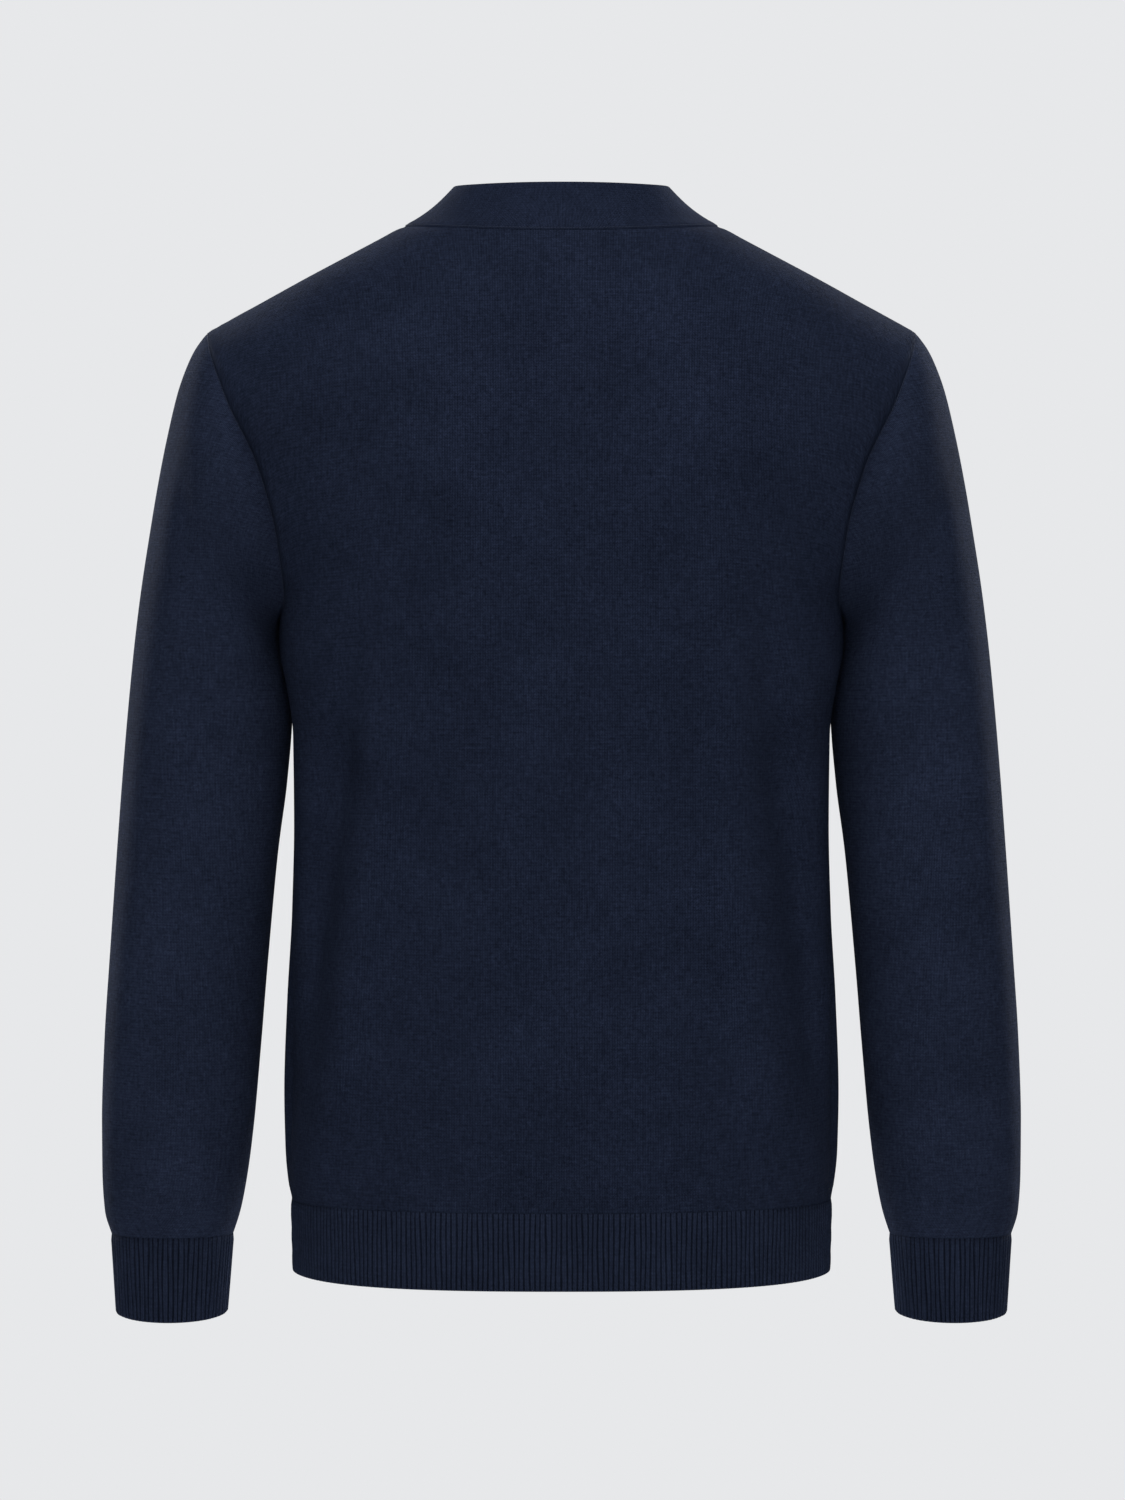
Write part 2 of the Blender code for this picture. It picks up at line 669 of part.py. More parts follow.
plain_knit = cloth_material("plain_knit", NAVY)
rib_knit = cloth_material("rib_knit", NAVY_RIB)
band_knit = cloth_material("band_knit", NAVY)

for panel_name in ("back", "front"):
    panel_object(panel_name, plain_knit)
    hem_rib(panel_name, rib_knit)
for hand, way in (("left", 1), ("right", -1)):
    sleeve("sleeve_" + hand, way, plain_knit)
    cuff("cuff_" + hand, way, rib_knit)
neckband(band_knit)
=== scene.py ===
"""Dresses the hollow, worn pullover in knitted cloth on a plain pale stage.

Metres, +Z up. The front faces -Y, so +Y is the back and +X is the garment's left
side as worn. Each piece of cloth is a thin closed shell on the form of its solid,
with finer rows and columns, soft creases, sunk seams and raised ribs.
"""

import math
from collections import namedtuple
from functools import partial, reduce

import bpy
import numpy as np
from bpy.props import FloatProperty, FloatVectorProperty, IntProperty, PointerProperty
from bpy.types import Operator, Panel, PropertyGroup
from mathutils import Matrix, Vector


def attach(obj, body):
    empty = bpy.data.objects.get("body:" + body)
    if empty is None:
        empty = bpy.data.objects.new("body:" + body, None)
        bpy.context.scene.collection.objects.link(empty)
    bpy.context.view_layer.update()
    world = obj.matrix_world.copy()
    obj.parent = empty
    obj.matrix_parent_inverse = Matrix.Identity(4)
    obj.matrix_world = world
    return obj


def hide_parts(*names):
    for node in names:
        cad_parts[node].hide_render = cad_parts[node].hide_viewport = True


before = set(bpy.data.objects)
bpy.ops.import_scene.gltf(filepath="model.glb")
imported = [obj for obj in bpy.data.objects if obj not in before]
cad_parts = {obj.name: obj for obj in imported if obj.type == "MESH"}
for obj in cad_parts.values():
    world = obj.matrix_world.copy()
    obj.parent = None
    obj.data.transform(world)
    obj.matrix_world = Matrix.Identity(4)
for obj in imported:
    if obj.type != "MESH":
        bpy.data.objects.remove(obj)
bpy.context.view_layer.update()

bl_info = {
    "name": "Knitted Pullover",
    "version": (1, 0, 0),
    "blender": (4, 5, 0),
    "location": "3D View > Sidebar > Pullover",
    "description": "Knitted cloth, ribs, linked seams and a stage for a worn pullover",
    "category": "Object",
}

# ------------------------------------------------------- sizes shared with the solids
SEAM_GAP = 0.0003  # between the walls of two pieces that are sewn together
HEM_SEAM_Z, HEM_Z = -0.639, -0.686
SHOULDER_TIP = (0.2333, -0.0685)  # x and z of the top of the armhole seam
UNDERARM = (0.1860, -0.257)  # x and z of the bottom of the armhole seam
NECK_HALF_WIDTH = 0.104
ARMHOLE_HALF_DEPTH = 0.065
BACK_NECK_DROP, FRONT_NECK_DROP = 0.0085, 0.088
FRONT_DROP_START = -0.200  # rows of the front below this height run level
ARMHOLE_MIDDLE_Z = (SHOULDER_TIP[1] + UNDERARM[1]) / 2
ARMHOLE_HALF_HEIGHT = (SHOULDER_TIP[1] - UNDERARM[1]) / 2
NECK_ROUNDNESS = 1.35
DROP_CURVE = 1.5  # more makes the rows drop later on their way to the neck
DROP_WIDENING = 5  # more keeps the drop of the lower rows nearer to the middle
SOFTENING = 0.070  # height over which a change of width is spread
SOFT_STEPS, SOFT_PEAK = 9, 1.1  # points that are averaged, and the middle one's weight
SOFT_EDGE = 5  # more keeps the softening up nearer to the edge
SOFT_FROM, SOFT_IN_FULL = -0.500, -0.300  # heights between which it sets in
BAND_HOLLOW = 0.002
BAND_TURN = 3  # the band leaves its seam's direction over a third of its width
BAND_LEVEL_FROM, BAND_LEVEL_RATE = 0.9, 10  # where its seam turns over the shoulder
SECTION_POWER = 2.35  # 2 is an ellipse; more is squarer
SECTION_LIMIT = 0.95  # a seam lies no nearer to the section's deepest point
HEM_RIBS, CUFF_RIBS = 140, 68  # on half the hem, and round one cuff

BandEdge = namedtuple("BandEdge", "lean_in rise")
BAND_SIDE = BandEdge(0.0325, 0.0260)
BAND_BACK = BandEdge(0.0165, 0.0318)
BAND_FRONT = BandEdge(0.0250, 0.0280)

# Level sections of the torso.
Torso = namedtuple("Torso", "z half_width back front side_y")
TORSO = [
    Torso(-0.690, 0.1764, 0.1095, 0.1085, 0.000),
    Torso(-0.660, 0.1767, 0.1095, 0.1085, 0.000),
    Torso(-0.639, 0.1776, 0.1095, 0.1085, 0.000),
    Torso(-0.628, 0.1802, 0.1120, 0.1110, 0.000),
    Torso(-0.608, 0.1822, 0.1140, 0.1130, 0.000),
    Torso(-0.570, 0.1830, 0.1140, 0.1135, 0.001),
    Torso(-0.509, 0.1810, 0.1110, 0.1130, 0.002),
    Torso(-0.450, 0.1775, 0.1080, 0.1130, 0.004),
    Torso(-0.390, 0.1758, 0.1070, 0.1140, 0.006),
    Torso(-0.334, 0.1762, 0.1090, 0.1170, 0.010),
    Torso(-0.300, 0.1808, 0.1120, 0.1190, 0.012),
    Torso(-0.275, 0.1856, 0.1140, 0.1200, 0.008),
    Torso(-0.257, 0.1860, 0.1150, 0.1205, 0.000),
    Torso(-0.220, 0.1860, 0.1170, 0.1200, 0.000),
    Torso(-0.170, 0.1860, 0.1175, 0.1130, 0.000),
    Torso(-0.120, 0.1860, 0.1130, 0.0990, 0.000),
    Torso(-0.0685, 0.2333, 0.1020, 0.0830, 0.000),
    Torso(-0.035, 0.1700, 0.0870, 0.0680, 0.002),
    Torso(0.000, 0.1070, 0.0670, 0.0580, 0.004),
]

# The armhole seam, by angle from the shoulder tip round to the underarm.
Armhole = namedtuple("Armhole", "degrees x_back x_front")
ARMHOLE = [
    Armhole(0, 0.2333, 0.2333),
    Armhole(30, 0.2300, 0.2270),
    Armhole(60, 0.2180, 0.2110),
    Armhole(90, 0.1985, 0.1920),
    Armhole(120, 0.1865, 0.1835),
    Armhole(150, 0.1820, 0.1810),
    Armhole(180, 0.1860, 0.1860),
]

# Rings of the sleeve from the armhole to the cuff seam, and the cuff's lower edge.
Ring = namedtuple("Ring", "outer_x outer_z inner_x inner_z mid_y half_depth")
SLEEVE = [
    Ring(0.2333, -0.0685, 0.1860, -0.2570, 0.0000, 0.0650),
    Ring(0.2419, -0.0800, 0.1884, -0.2585, -0.0010, 0.0655),
    Ring(0.2518, -0.1030, 0.1895, -0.2625, -0.0040, 0.0650),
    Ring(0.2603, -0.1360, 0.1888, -0.2690, -0.0080, 0.0630),
    Ring(0.2672, -0.1690, 0.1870, -0.2770, -0.0120, 0.0610),
    Ring(0.2730, -0.2020, 0.1844, -0.2880, -0.0150, 0.0600),
    Ring(0.2783, -0.2350, 0.1813, -0.3040, -0.0170, 0.0590),
    Ring(0.2826, -0.2680, 0.1792, -0.3270, -0.0180, 0.0580),
    Ring(0.2890, -0.3340, 0.1822, -0.3650, -0.0180, 0.0555),
    Ring(0.2942, -0.4030, 0.1882, -0.4120, -0.0165, 0.0525),
    Ring(0.2997, -0.4820, 0.1950, -0.4850, -0.0170, 0.0490),
    Ring(0.3034, -0.5350, 0.1995, -0.5380, -0.0200, 0.0465),
    Ring(0.3058, -0.5900, 0.2047, -0.5920, -0.0265, 0.0435),
    Ring(0.3060, -0.6250, 0.2093, -0.6260, -0.0315, 0.0410),
    Ring(0.3048, -0.6510, 0.2143, -0.6510, -0.0360, 0.0375),
    Ring(0.3006, -0.6670, 0.2194, -0.6670, -0.0390, 0.0340),
]
BOW_LENGTH = 0.22  # share of the sleeve over which the bow of its seam fades
CUFF_END = Ring(0.2978, -0.7200, 0.2244, -0.7200, -0.0465, 0.0315)
CUFF_LEAN = 0.14  # how far the cuff's edge falls at the back, per metre of depth

# The garment's largest folds, which the solids have too.
Fold = namedtuple("Fold", "panel side top_z foot_z top_x foot_x rise width")
FOLDS = [
    Fold("back", 1, -0.20, -0.63, 0.120, 0.160, 0.0040, 0.016),
    Fold("back", 1, -0.24, -0.62, 0.141, 0.174, -0.0065, 0.017),
    Fold("back", -1, -0.22, -0.63, 0.108, 0.161, 0.0030, 0.018),
    Fold("back", -1, -0.22, -0.62, 0.133, 0.175, -0.0055, 0.018),
    Fold("front", 1, -0.26, -0.62, 0.100, 0.150, -0.0050, 0.020),
    Fold("front", -1, -0.24, -0.63, 0.094, 0.146, -0.0045, 0.022),
]
FOLD_DEPTH = 1.3  # times the depth that the solids give them
FOLD_START, FOLD_END = 0.45, 0.17  # shares of a fold's length
FOLD_CURVE = 1.5  # more makes a fold turn outward lower down
FOLD_LIMIT_X, FOLD_FADE = 0.181, 0.020

# ------------------------------------------------------------------ soft creases
CREASE_START, CREASE_END = 0.4, 0.5  # shares of its length over which one fades

# Each runs from (from_x, from_z) to (to_x, to_z), x counting from the middle of a
# panel, or round the sleeve from its outer line towards the back.
CREASE_BOW = 0.06  # share of its length by which one bows, where none is given
Crease = namedtuple(
    "Crease", "piece from_x from_z to_x to_z rise width bow", defaults=(CREASE_BOW,)
)
CREASES = [
    Crease("back", 0.089, -0.240, 0.178, -0.730, 0.0056, 0.011, 0.0),
    Crease("back", 0.118, -0.180, 0.211, -0.760, -0.0086, 0.012, 0.0),
    Crease("back", -0.121, -0.180, -0.205, -0.780, -0.0090, 0.014, 0.0),
    Crease("back", -0.086, -0.300, -0.164, -0.740, 0.0034, 0.012, 0.0),
    Crease("back", -0.092, -0.430, -0.124, -0.700, -0.0016, 0.010, 0.0),
    Crease("back", 0.168, -0.292, 0.112, -0.372, 0.0014, 0.011),
    Crease("back", 0.158, -0.330, 0.120, -0.430, -0.0012, 0.013),
    Crease("back", -0.170, -0.286, -0.104, -0.352, 0.0016, 0.012),
    Crease("back", -0.160, -0.322, -0.126, -0.446, -0.0010, 0.014),
    Crease("back", 0.060, -0.470, 0.078, -0.612, 0.0008, 0.016),
    Crease("back", -0.052, -0.505, -0.068, -0.618, 0.0007, 0.018),
    Crease("back", 0.006, -0.075, 0.012, -0.190, -0.0006, 0.020),
    Crease("front", 0.166, -0.280, 0.096, -0.345, 0.0026, 0.011),
    Crease("front", 0.160, -0.318, 0.104, -0.398, -0.0020, 0.013),
    Crease("front", -0.168, -0.276, -0.090, -0.350, 0.0024, 0.012),
    Crease("front", -0.158, -0.326, -0.112, -0.412, -0.0022, 0.012),
    Crease("front", 0.058, -0.440, 0.084, -0.600, 0.0016, 0.018),
    Crease("front", -0.046, -0.480, -0.070, -0.615, 0.0014, 0.020),
    Crease("front", 0.012, -0.200, 0.016, -0.330, -0.0010, 0.024),
    Crease("sleeve_left", 0.118, -0.330, 0.050, -0.392, -0.0016, 0.010),
    Crease("sleeve_left", 0.112, -0.372, 0.040, -0.452, 0.0013, 0.013),
    Crease("sleeve_left", 0.100, -0.432, 0.036, -0.500, -0.0012, 0.011),
    Crease("sleeve_left", -0.110, -0.322, -0.040, -0.386, -0.0030, 0.011),
    Crease("sleeve_left", -0.116, -0.372, -0.044, -0.430, 0.0026, 0.010),
    Crease("sleeve_left", -0.104, -0.424, -0.030, -0.474, -0.0022, 0.012),
    Crease("sleeve_left", 0.080, -0.592, 0.010, -0.622, -0.0010, 0.009),
    Crease("sleeve_left", -0.070, -0.604, 0.004, -0.640, 0.0012, 0.009),
    Crease("sleeve_left", 0.060, -0.148, 0.100, -0.262, -0.0016, 0.012),
    Crease("sleeve_right", 0.120, -0.340, 0.044, -0.404, -0.0018, 0.011),
    Crease("sleeve_right", 0.110, -0.392, 0.048, -0.470, 0.0012, 0.012),
    Crease("sleeve_right", 0.098, -0.450, 0.030, -0.512, -0.0011, 0.012),
    Crease("sleeve_right", -0.112, -0.334, -0.036, -0.396, -0.0028, 0.012),
    Crease("sleeve_right", -0.112, -0.384, -0.050, -0.446, 0.0024, 0.010),
    Crease("sleeve_right", -0.100, -0.440, -0.026, -0.488, -0.0020, 0.011),
    Crease("sleeve_right", 0.074, -0.600, 0.008, -0.632, -0.0011, 0.010),
    Crease("sleeve_right", -0.066, -0.596, 0.000, -0.628, 0.0010, 0.010),
    Crease("sleeve_right", 0.064, -0.156, 0.104, -0.270, -0.0017, 0.013),
]

# -------------------------------------------------------------- rows and columns
CELL = 0.0040  # of the plain cloth
CLOSE_STEPS = (0.0, 0.0007, 0.0015, 0.0026, 0.0042)  # rows beside a seam
CLOSE_SHARES = (0.0, 0.0018, 0.0042, 0.0080, 0.0150, 0.0270)  # columns beside one
HALF_COLUMNS = 46
ARMHOLE_ROWS = 48
SLEEVE_COLUMNS, SLEEVE_ROWS = 96, 140
BAND_ROWS, BAND_COLUMNS = 12, 44
RIB_ROWS, COLUMNS_A_RIB = 12, 8
EDGE_TURNS = 6  # steps round the cloth's rounded lower edge
FINE_STEPS = 2400  # along a curve that is then divided into even columns
SPREAD_ROWS, SPREAD_TIMES = 5.0, 60  # rows each way that are evened out, and how often
SPREAD_BESIDE = 0.020  # which sets in over this distance from the armhole
MITRE_REACH = 0.010  # distance over which a wall turns to its seam's direction
CREASE_CLEAR = 0.014  # creases fade over this distance from a seam
SEAM_SINK_WIDTH, SEAM_PROUD_WIDTH = 0.0016, 0.0022
SEAM_PROUD, SEAM_PROUD_AT = 0.25, 0.0044
HEM_DIP = 0.1  # a rib is knitted on, so cloth hardly sinks there
ARMHOLE_DIP = 0.5  # share of a seam's dip
ARMHOLE_SINK = 0.0070  # how far the cloth folds in along the lower armhole
SINK_FROM, SINK_IN_FULL, SINK_TO = 0.85, 1.75, 2.95  # angles from the armhole's top
SINK_ON_BODY, SINK_ON_SLEEVE = 0.0045, 0.0100  # widths of that fold
UNDERARM_CLEARANCE = 0.0007  # between the sleeve and the body that it rests by
UNDERARM_SPREAD = 0.55  # turn of the sleeve over which it comes near the body
REST_TO, REST_FADE = -0.335, 0.035  # height where the sleeve parts from the body
HEM_FALL = 0.0028  # how far the hem hangs lower at the middle of the back
RIB_PITCH = 0.0034  # of a rib and its groove
RIB_COURSE = 0.0022  # height of a stitch of the rib
RIB_FULLNESS = 0.6  # less makes the ribs rounder and steeper
RIB_SETTLE = 0.0030  # its grooves reach their depth this far below the join
RIB_WANDER = 0.14  # share of a pitch by which a rib strays from its line
RIB_STRAYS = ((23, 95), (9, -60), (41, 30))  # waves of that, a turn and a metre
KNITTED_ON_GAP = 0.0001  # where a rib is knitted on to the plain cloth
STITCH_RELIEF = 0.0006  # height of a stitch in the bump
BEAD_ROW = 2  # the row of cloth beside a seam that its linking stitches lie on
SLEEVE_RADIUS, SLEEVE_LENGTH = 0.050, 0.600  # about, to space columns and rows
BAND_WIDTH = 0.038
SAME_HEIGHT, SAME_ANGLE = 1e-6, 1e-9

UP = np.array([0.0, 0.0, 1.0])
LEVEL = np.array([1.0, 1.0, 0.0])
OTHER_SIDE = np.array([-1.0, 1.0, 1.0])
UV_NAME = "knit"


# -------------------------------------------------------------------- small tools
def smooth_table(table, key, column, at):
    """The column's values where key is `at`, on a smooth curve through the rows."""
    keys = np.array([getattr(row, key) for row in table], float)
    values = np.array([getattr(row, column) for row in table], float)
    steps = np.diff(values) / np.diff(keys)
    before, after = steps[:-1], steps[1:]
    turning = before * after <= 0
    inner = np.where(turning, 0.0, 2 * before * after / np.where(turning, 1.0, before + after))
    slopes = np.concatenate([steps[:1], inner, steps[-1:]])
    at = np.clip(at, keys[0], keys[-1])
    i = np.clip(np.searchsorted(keys, at, side="right") - 1, 0, len(keys) - 2)
    span = keys[i + 1] - keys[i]
    s = (at - keys[i]) / span
    return (
        values[i] * (1 + 2 * s) * (1 - s) ** 2
        + values[i + 1] * s * s * (3 - 2 * s)
        + span * slopes[i] * s * (1 - s) ** 2
        - span * slopes[i + 1] * s * s * (1 - s)
    )


def unit(vectors):
    length = np.linalg.norm(vectors, axis=-1, keepdims=True)
    return vectors / np.maximum(length, 1e-12)


def ease(s):
    """0 to 1 with level ends."""
    s = np.clip(s, 0.0, 1.0)
    return s * s * (3 - 2 * s)


def dot(a, b):
    return (a * b).sum(-1, keepdims=True)


def points(x, y, z):
    return np.stack(np.broadcast_arrays(x, y, z), -1)


def running_length(steps, axis):
    """Cumulative length along an axis, from 0."""
    start = np.zeros_like(np.take(steps, [0], axis))
    return np.concatenate([start, np.cumsum(steps, axis)], axis)


# ---------------------------------------------------------------------- the torso
def armhole_point(panel, angle):
    """A point of the left armhole seam, by angle from its top."""
    side = 1 if panel == "back" else -1
    x = smooth_table(ARMHOLE, "degrees", "x_" + panel, np.degrees(angle))
    y = side * ARMHOLE_HALF_DEPTH * np.sin(angle)
    return points(x, y, ARMHOLE_MIDDLE_Z + ARMHOLE_HALF_HEIGHT * np.cos(angle))


def armhole_angle(z):
    return np.arccos(np.clip((z - ARMHOLE_MIDDLE_Z) / ARMHOLE_HALF_HEIGHT, -1.0, 1.0))


def depth_and_side(panel, z):
    """The panel's depth from the side seam's plane, and that plane's y."""
    side_y = smooth_table(TORSO, "z", "side_y", z)
    depth = smooth_table(TORSO, "z", panel, z)
    return (depth - side_y if panel == "back" else depth + side_y), side_y


def edge_of_section(panel, z):
    """Half width of the section at height z, and the angle where the panel ends."""
    along = (z - SHOULDER_TIP[1]) / -SHOULDER_TIP[1]
    shoulder = SHOULDER_TIP[0] + along * (NECK_HALF_WIDTH - SHOULDER_TIP[0])
    trunk = smooth_table(TORSO, "z", "half_width", z)
    seam = armhole_point(panel, armhole_angle(z))
    depth, side_y = depth_and_side(panel, z)
    share = np.minimum(np.abs(seam[..., 1] - side_y) / depth, SECTION_LIMIT)
    over_seam = seam[..., 0] / (1 - share**SECTION_POWER) ** (1 / SECTION_POWER)
    on_shoulder, below = z >= SHOULDER_TIP[1], z <= UNDERARM[1]
    half_width = np.where(on_shoulder, shoulder, np.where(below, trunk, over_seam))
    whole = on_shoulder | below
    return half_width, np.where(whole, math.pi / 2, np.arccos(share ** (SECTION_POWER / 2)))


def fold_height(panel, x, z):
    """How far the largest folds lift the cloth."""
    height = np.zeros(np.broadcast(x, z).shape)
    for fold in FOLDS:
        if fold.panel != panel:
            continue
        down = np.clip((fold.top_z - z) / (fold.top_z - fold.foot_z), 0.0, 1.0)
        line = fold.top_x + (fold.foot_x - fold.top_x) * down**FOLD_CURVE
        fade = ease(down / FOLD_START) * ease((1 - down) / FOLD_END)
        fade = fade * ease((FOLD_LIMIT_X - np.abs(x)) / FOLD_FADE) * (x * fold.side > 0)
        height = height + fold.rise * fade * np.exp(-(((np.abs(x) - line) / fold.width) ** 2))
    return height


def crisp_point(panel, across, edge_z):
    """A point of the torso before its corners are softened."""
    width_at_edge, end = edge_of_section(panel, edge_z)
    start = SHOULDER_TIP[1] if panel == "back" else FRONT_DROP_START
    share = np.maximum((edge_z - start) / -start, 0.0) ** DROP_CURVE
    power = 2 / SECTION_POWER
    x = width_at_edge * np.sin(across * end) ** (power + (1 - power) * share)
    drop = share * (BACK_NECK_DROP if panel == "back" else FRONT_NECK_DROP)
    middle = np.maximum(np.cos(across * math.pi / 2), 0.0)
    z = edge_z - drop * middle ** (NECK_ROUNDNESS + DROP_WIDENING * (1 - share))
    depth, side_y = depth_and_side(panel, z)
    inside = np.maximum(1 - (x / edge_of_section(panel, z)[0]) ** SECTION_POWER, 0.0)
    towards = 1 if panel == "back" else -1
    return points(x, side_y + towards * depth * inside ** (1 / SECTION_POWER), z)


def torso_point(panel, across, edge_z, side=1):
    """A point at a share of the way from the middle of a row to its edge."""
    across, edge_z = np.broadcast_arrays(np.asarray(across, float), np.asarray(edge_z, float))
    set_in = ease((edge_z - SOFT_FROM) / (SOFT_IN_FULL - SOFT_FROM))
    reach = np.minimum(SOFTENING * (1 - across**SOFT_EDGE) * set_in, -edge_z)
    total, weight = 0.0, 0.0
    for step in np.linspace(-1, 1, SOFT_STEPS):
        share = SOFT_PEAK - abs(step)
        total = total + share * crisp_point(panel, across, edge_z + reach * step)
        weight += share
    point = total / weight
    towards = 1 if panel == "back" else -1
    lift = FOLD_DEPTH * fold_height(panel, side * point[..., 0], point[..., 2])
    return points(side * point[..., 0], point[..., 1] + towards * lift, point[..., 2])


def torso_normal(panel, across, edge_z):
    """Outward normal on the garment's left half."""
    step, aside, last = 0.002, 0.01, 0.985
    across = np.clip(across, aside, last)
    along = torso_point(panel, across + aside, edge_z) - torso_point(panel, across - aside, edge_z)
    high = np.minimum(edge_z + step, 0.0)
    up = torso_point(panel, across, high) - torso_point(panel, across, edge_z - step)
    towards = 1 if panel == "back" else -1
    return towards * unit(np.cross(up, along))


# -------------------------------------------------------------------- the sleeves
def sleeve_ring(station):
    """The ring at a station from 0, the armhole, to 1, the cuff seam."""
    numbered = namedtuple("Numbered", ("place", *Ring._fields))
    table = [numbered(i / (len(SLEEVE) - 1), *ring) for i, ring in enumerate(SLEEVE)]
    return Ring(*(smooth_table(table, "place", name, station) for name in Ring._fields))


def ring_point(ring, angle):
    """A point of a ring: angle 0 is outermost, and a quarter turn is the back."""
    swing = np.cos(angle)
    middle_x, middle_z = (ring.outer_x + ring.inner_x) / 2, (ring.outer_z + ring.inner_z) / 2
    reach_x, reach_z = (ring.outer_x - ring.inner_x) / 2, (ring.outer_z - ring.inner_z) / 2
    y = ring.mid_y + ring.half_depth * np.sin(angle)
    return points(middle_x + reach_x * swing, y, middle_z + reach_z * swing)


def by_panel(angle, of_panel):
    """Values of a function of (panel, angle from the top), for angles from -pi to pi."""
    back = np.asarray(angle) >= -SAME_ANGLE
    back = back | (np.abs(np.asarray(angle) + math.pi) < SAME_ANGLE)
    from_top = np.abs(angle)
    chosen = back[..., None]
    return np.where(chosen, of_panel("back", from_top), of_panel("front", from_top))


def sleeve_point(station, angle):
    """Near the armhole a ring keeps the bow of the armhole seam."""
    point = ring_point(sleeve_ring(station), angle)
    bow = by_panel(angle, armhole_point) - ring_point(SLEEVE[0], angle)
    fade = 1 - ease(np.asarray(station) / BOW_LENGTH)
    return point + bow * np.asarray(fade)[..., None]


def sleeve_normal(station, angle):
    step, turn = 0.004, 0.02
    station = np.clip(station, step, 1 - step)
    along = sleeve_point(station + step, angle) - sleeve_point(station - step, angle)
    round_it = sleeve_point(station, angle + turn) - sleeve_point(station, angle - turn)
    return unit(np.cross(along, round_it))


# ---------------------------------------------------------------------- the seams
def seam_frame(tangent, outward, other_outward):
    """(inward direction, direction across) of a seam that two pieces share."""
    inward = -(outward + other_outward)
    inward = unit(inward - tangent * dot(inward, tangent))
    return inward, unit(np.cross(inward, tangent))


def armhole_frame(panel, angle):
    """The armhole seam's inward direction, and the way from body to sleeve."""
    step = 0.03
    angle = np.asarray(angle, float)
    before = armhole_point(panel, np.maximum(angle - step, 0.0))
    tangent = unit(armhole_point(panel, np.minimum(angle + step, math.pi)) - before)
    at_end = ((angle < step) | (angle > math.pi - step))[..., None]
    tangent = np.where(at_end, np.array([0.0, 1.0, 0.0]), tangent)
    z = armhole_point(panel, angle)[..., 2]
    round_it = angle if panel == "back" else -angle
    body, arm = torso_normal(panel, np.ones_like(z), z), sleeve_normal(np.zeros_like(z), round_it)
    inward, over = seam_frame(tangent, body, arm)
    return inward, np.where(over[..., :1] > 0, over, -over)


def neck_tangent(panel, across):
    """Direction of the left half of the neck seam, from back to front."""
    step = 0.01
    ahead = torso_point(panel, np.minimum(across + step, 1.0), 0.0)
    behind = torso_point(panel, np.abs(across - step), 0.0)
    crossing = (across < step)[..., None]
    behind = np.where(crossing, behind * OTHER_SIDE, behind)
    tangent = unit(ahead - behind) * (1 if panel == "back" else -1)
    beside = torso_point("front", 1 - step, 0.0) - torso_point("back", 1 - step, 0.0)
    return np.where((across > 1 - step)[..., None], unit(beside), tangent)


def band_point(panel, across, up):
    """A point of the neckband, `up` being the share of its width from the seam."""
    seam = torso_point(panel, across, 0.0)
    middle = np.cos(across * math.pi / 2) ** 2
    centre = BAND_BACK if panel == "back" else BAND_FRONT
    side_scale = 1 - BAND_SIDE.lean_in / NECK_HALF_WIDTH
    depth_scale = 1 - centre.lean_in / abs(torso_point(panel, 0.0, 0.0)[1])
    rise = BAND_SIDE.rise + (centre.rise - BAND_SIDE.rise) * middle
    top = seam * np.array([side_scale, depth_scale, 1]) + rise[..., None] * UP
    return seam + (top - seam) * up


def band_normal(panel, across):
    rise = band_point(panel, across, 1.0) - band_point(panel, across, 0.0)
    normal = unit(np.cross(rise, neck_tangent(panel, across)))
    return np.where(normal[..., 2:] > 0, normal, -normal)


def neck_frame(panel, across):
    """The neck seam's inward direction, and the way from the band to the body."""
    outward = torso_normal(panel, across, np.zeros_like(across))
    flatten = np.clip(1 - (across - BAND_LEVEL_FROM) * BAND_LEVEL_RATE, 0.0, 1.0)
    outward = unit(outward * points(1.0, flatten, 1.0))
    inward, over = seam_frame(neck_tangent(panel, across), outward, band_normal(panel, across))
    rise = band_point(panel, across, 1.0) - band_point(panel, across, 0.0)
    return inward, np.where(dot(over, rise) < 0, over, -over)


# --------------------------------------------------------------- cloth from grids
# A sheet of cloth before it is thick: its outer points, rows by columns, the way
# to its inner side, and how far each point lies along the knit, in metres. A ring
# has one more column of u and v than of points, where it closes.
Wall = namedtuple("Wall", "outer inward u v ring")


def grid_normals(grid, ring, towards):
    """Unit normals of a grid of points, on the side given by `towards`."""
    up = np.gradient(grid, axis=0)
    along = np.gradient(grid, axis=1)
    if ring:
        along = np.roll(grid, -1, 1) - np.roll(grid, 1, 1)
    return towards * unit(np.cross(along, up))


def row_lengths(grid, ring, level=False):
    """Distance along each row from its first column, one more column on a ring."""
    closed = np.concatenate([grid, grid[:, :1]], 1) if ring else grid
    steps = np.diff(closed, axis=1)
    if level:
        steps = steps * LEVEL
    return running_length(np.linalg.norm(steps, axis=-1), 1)


def column_lengths(grid):
    """Distance up each column from its first row, leaving out any sideways drift."""
    steps = np.diff(grid, axis=0)
    return running_length(np.hypot(steps[..., 1], steps[..., 2]), 0)


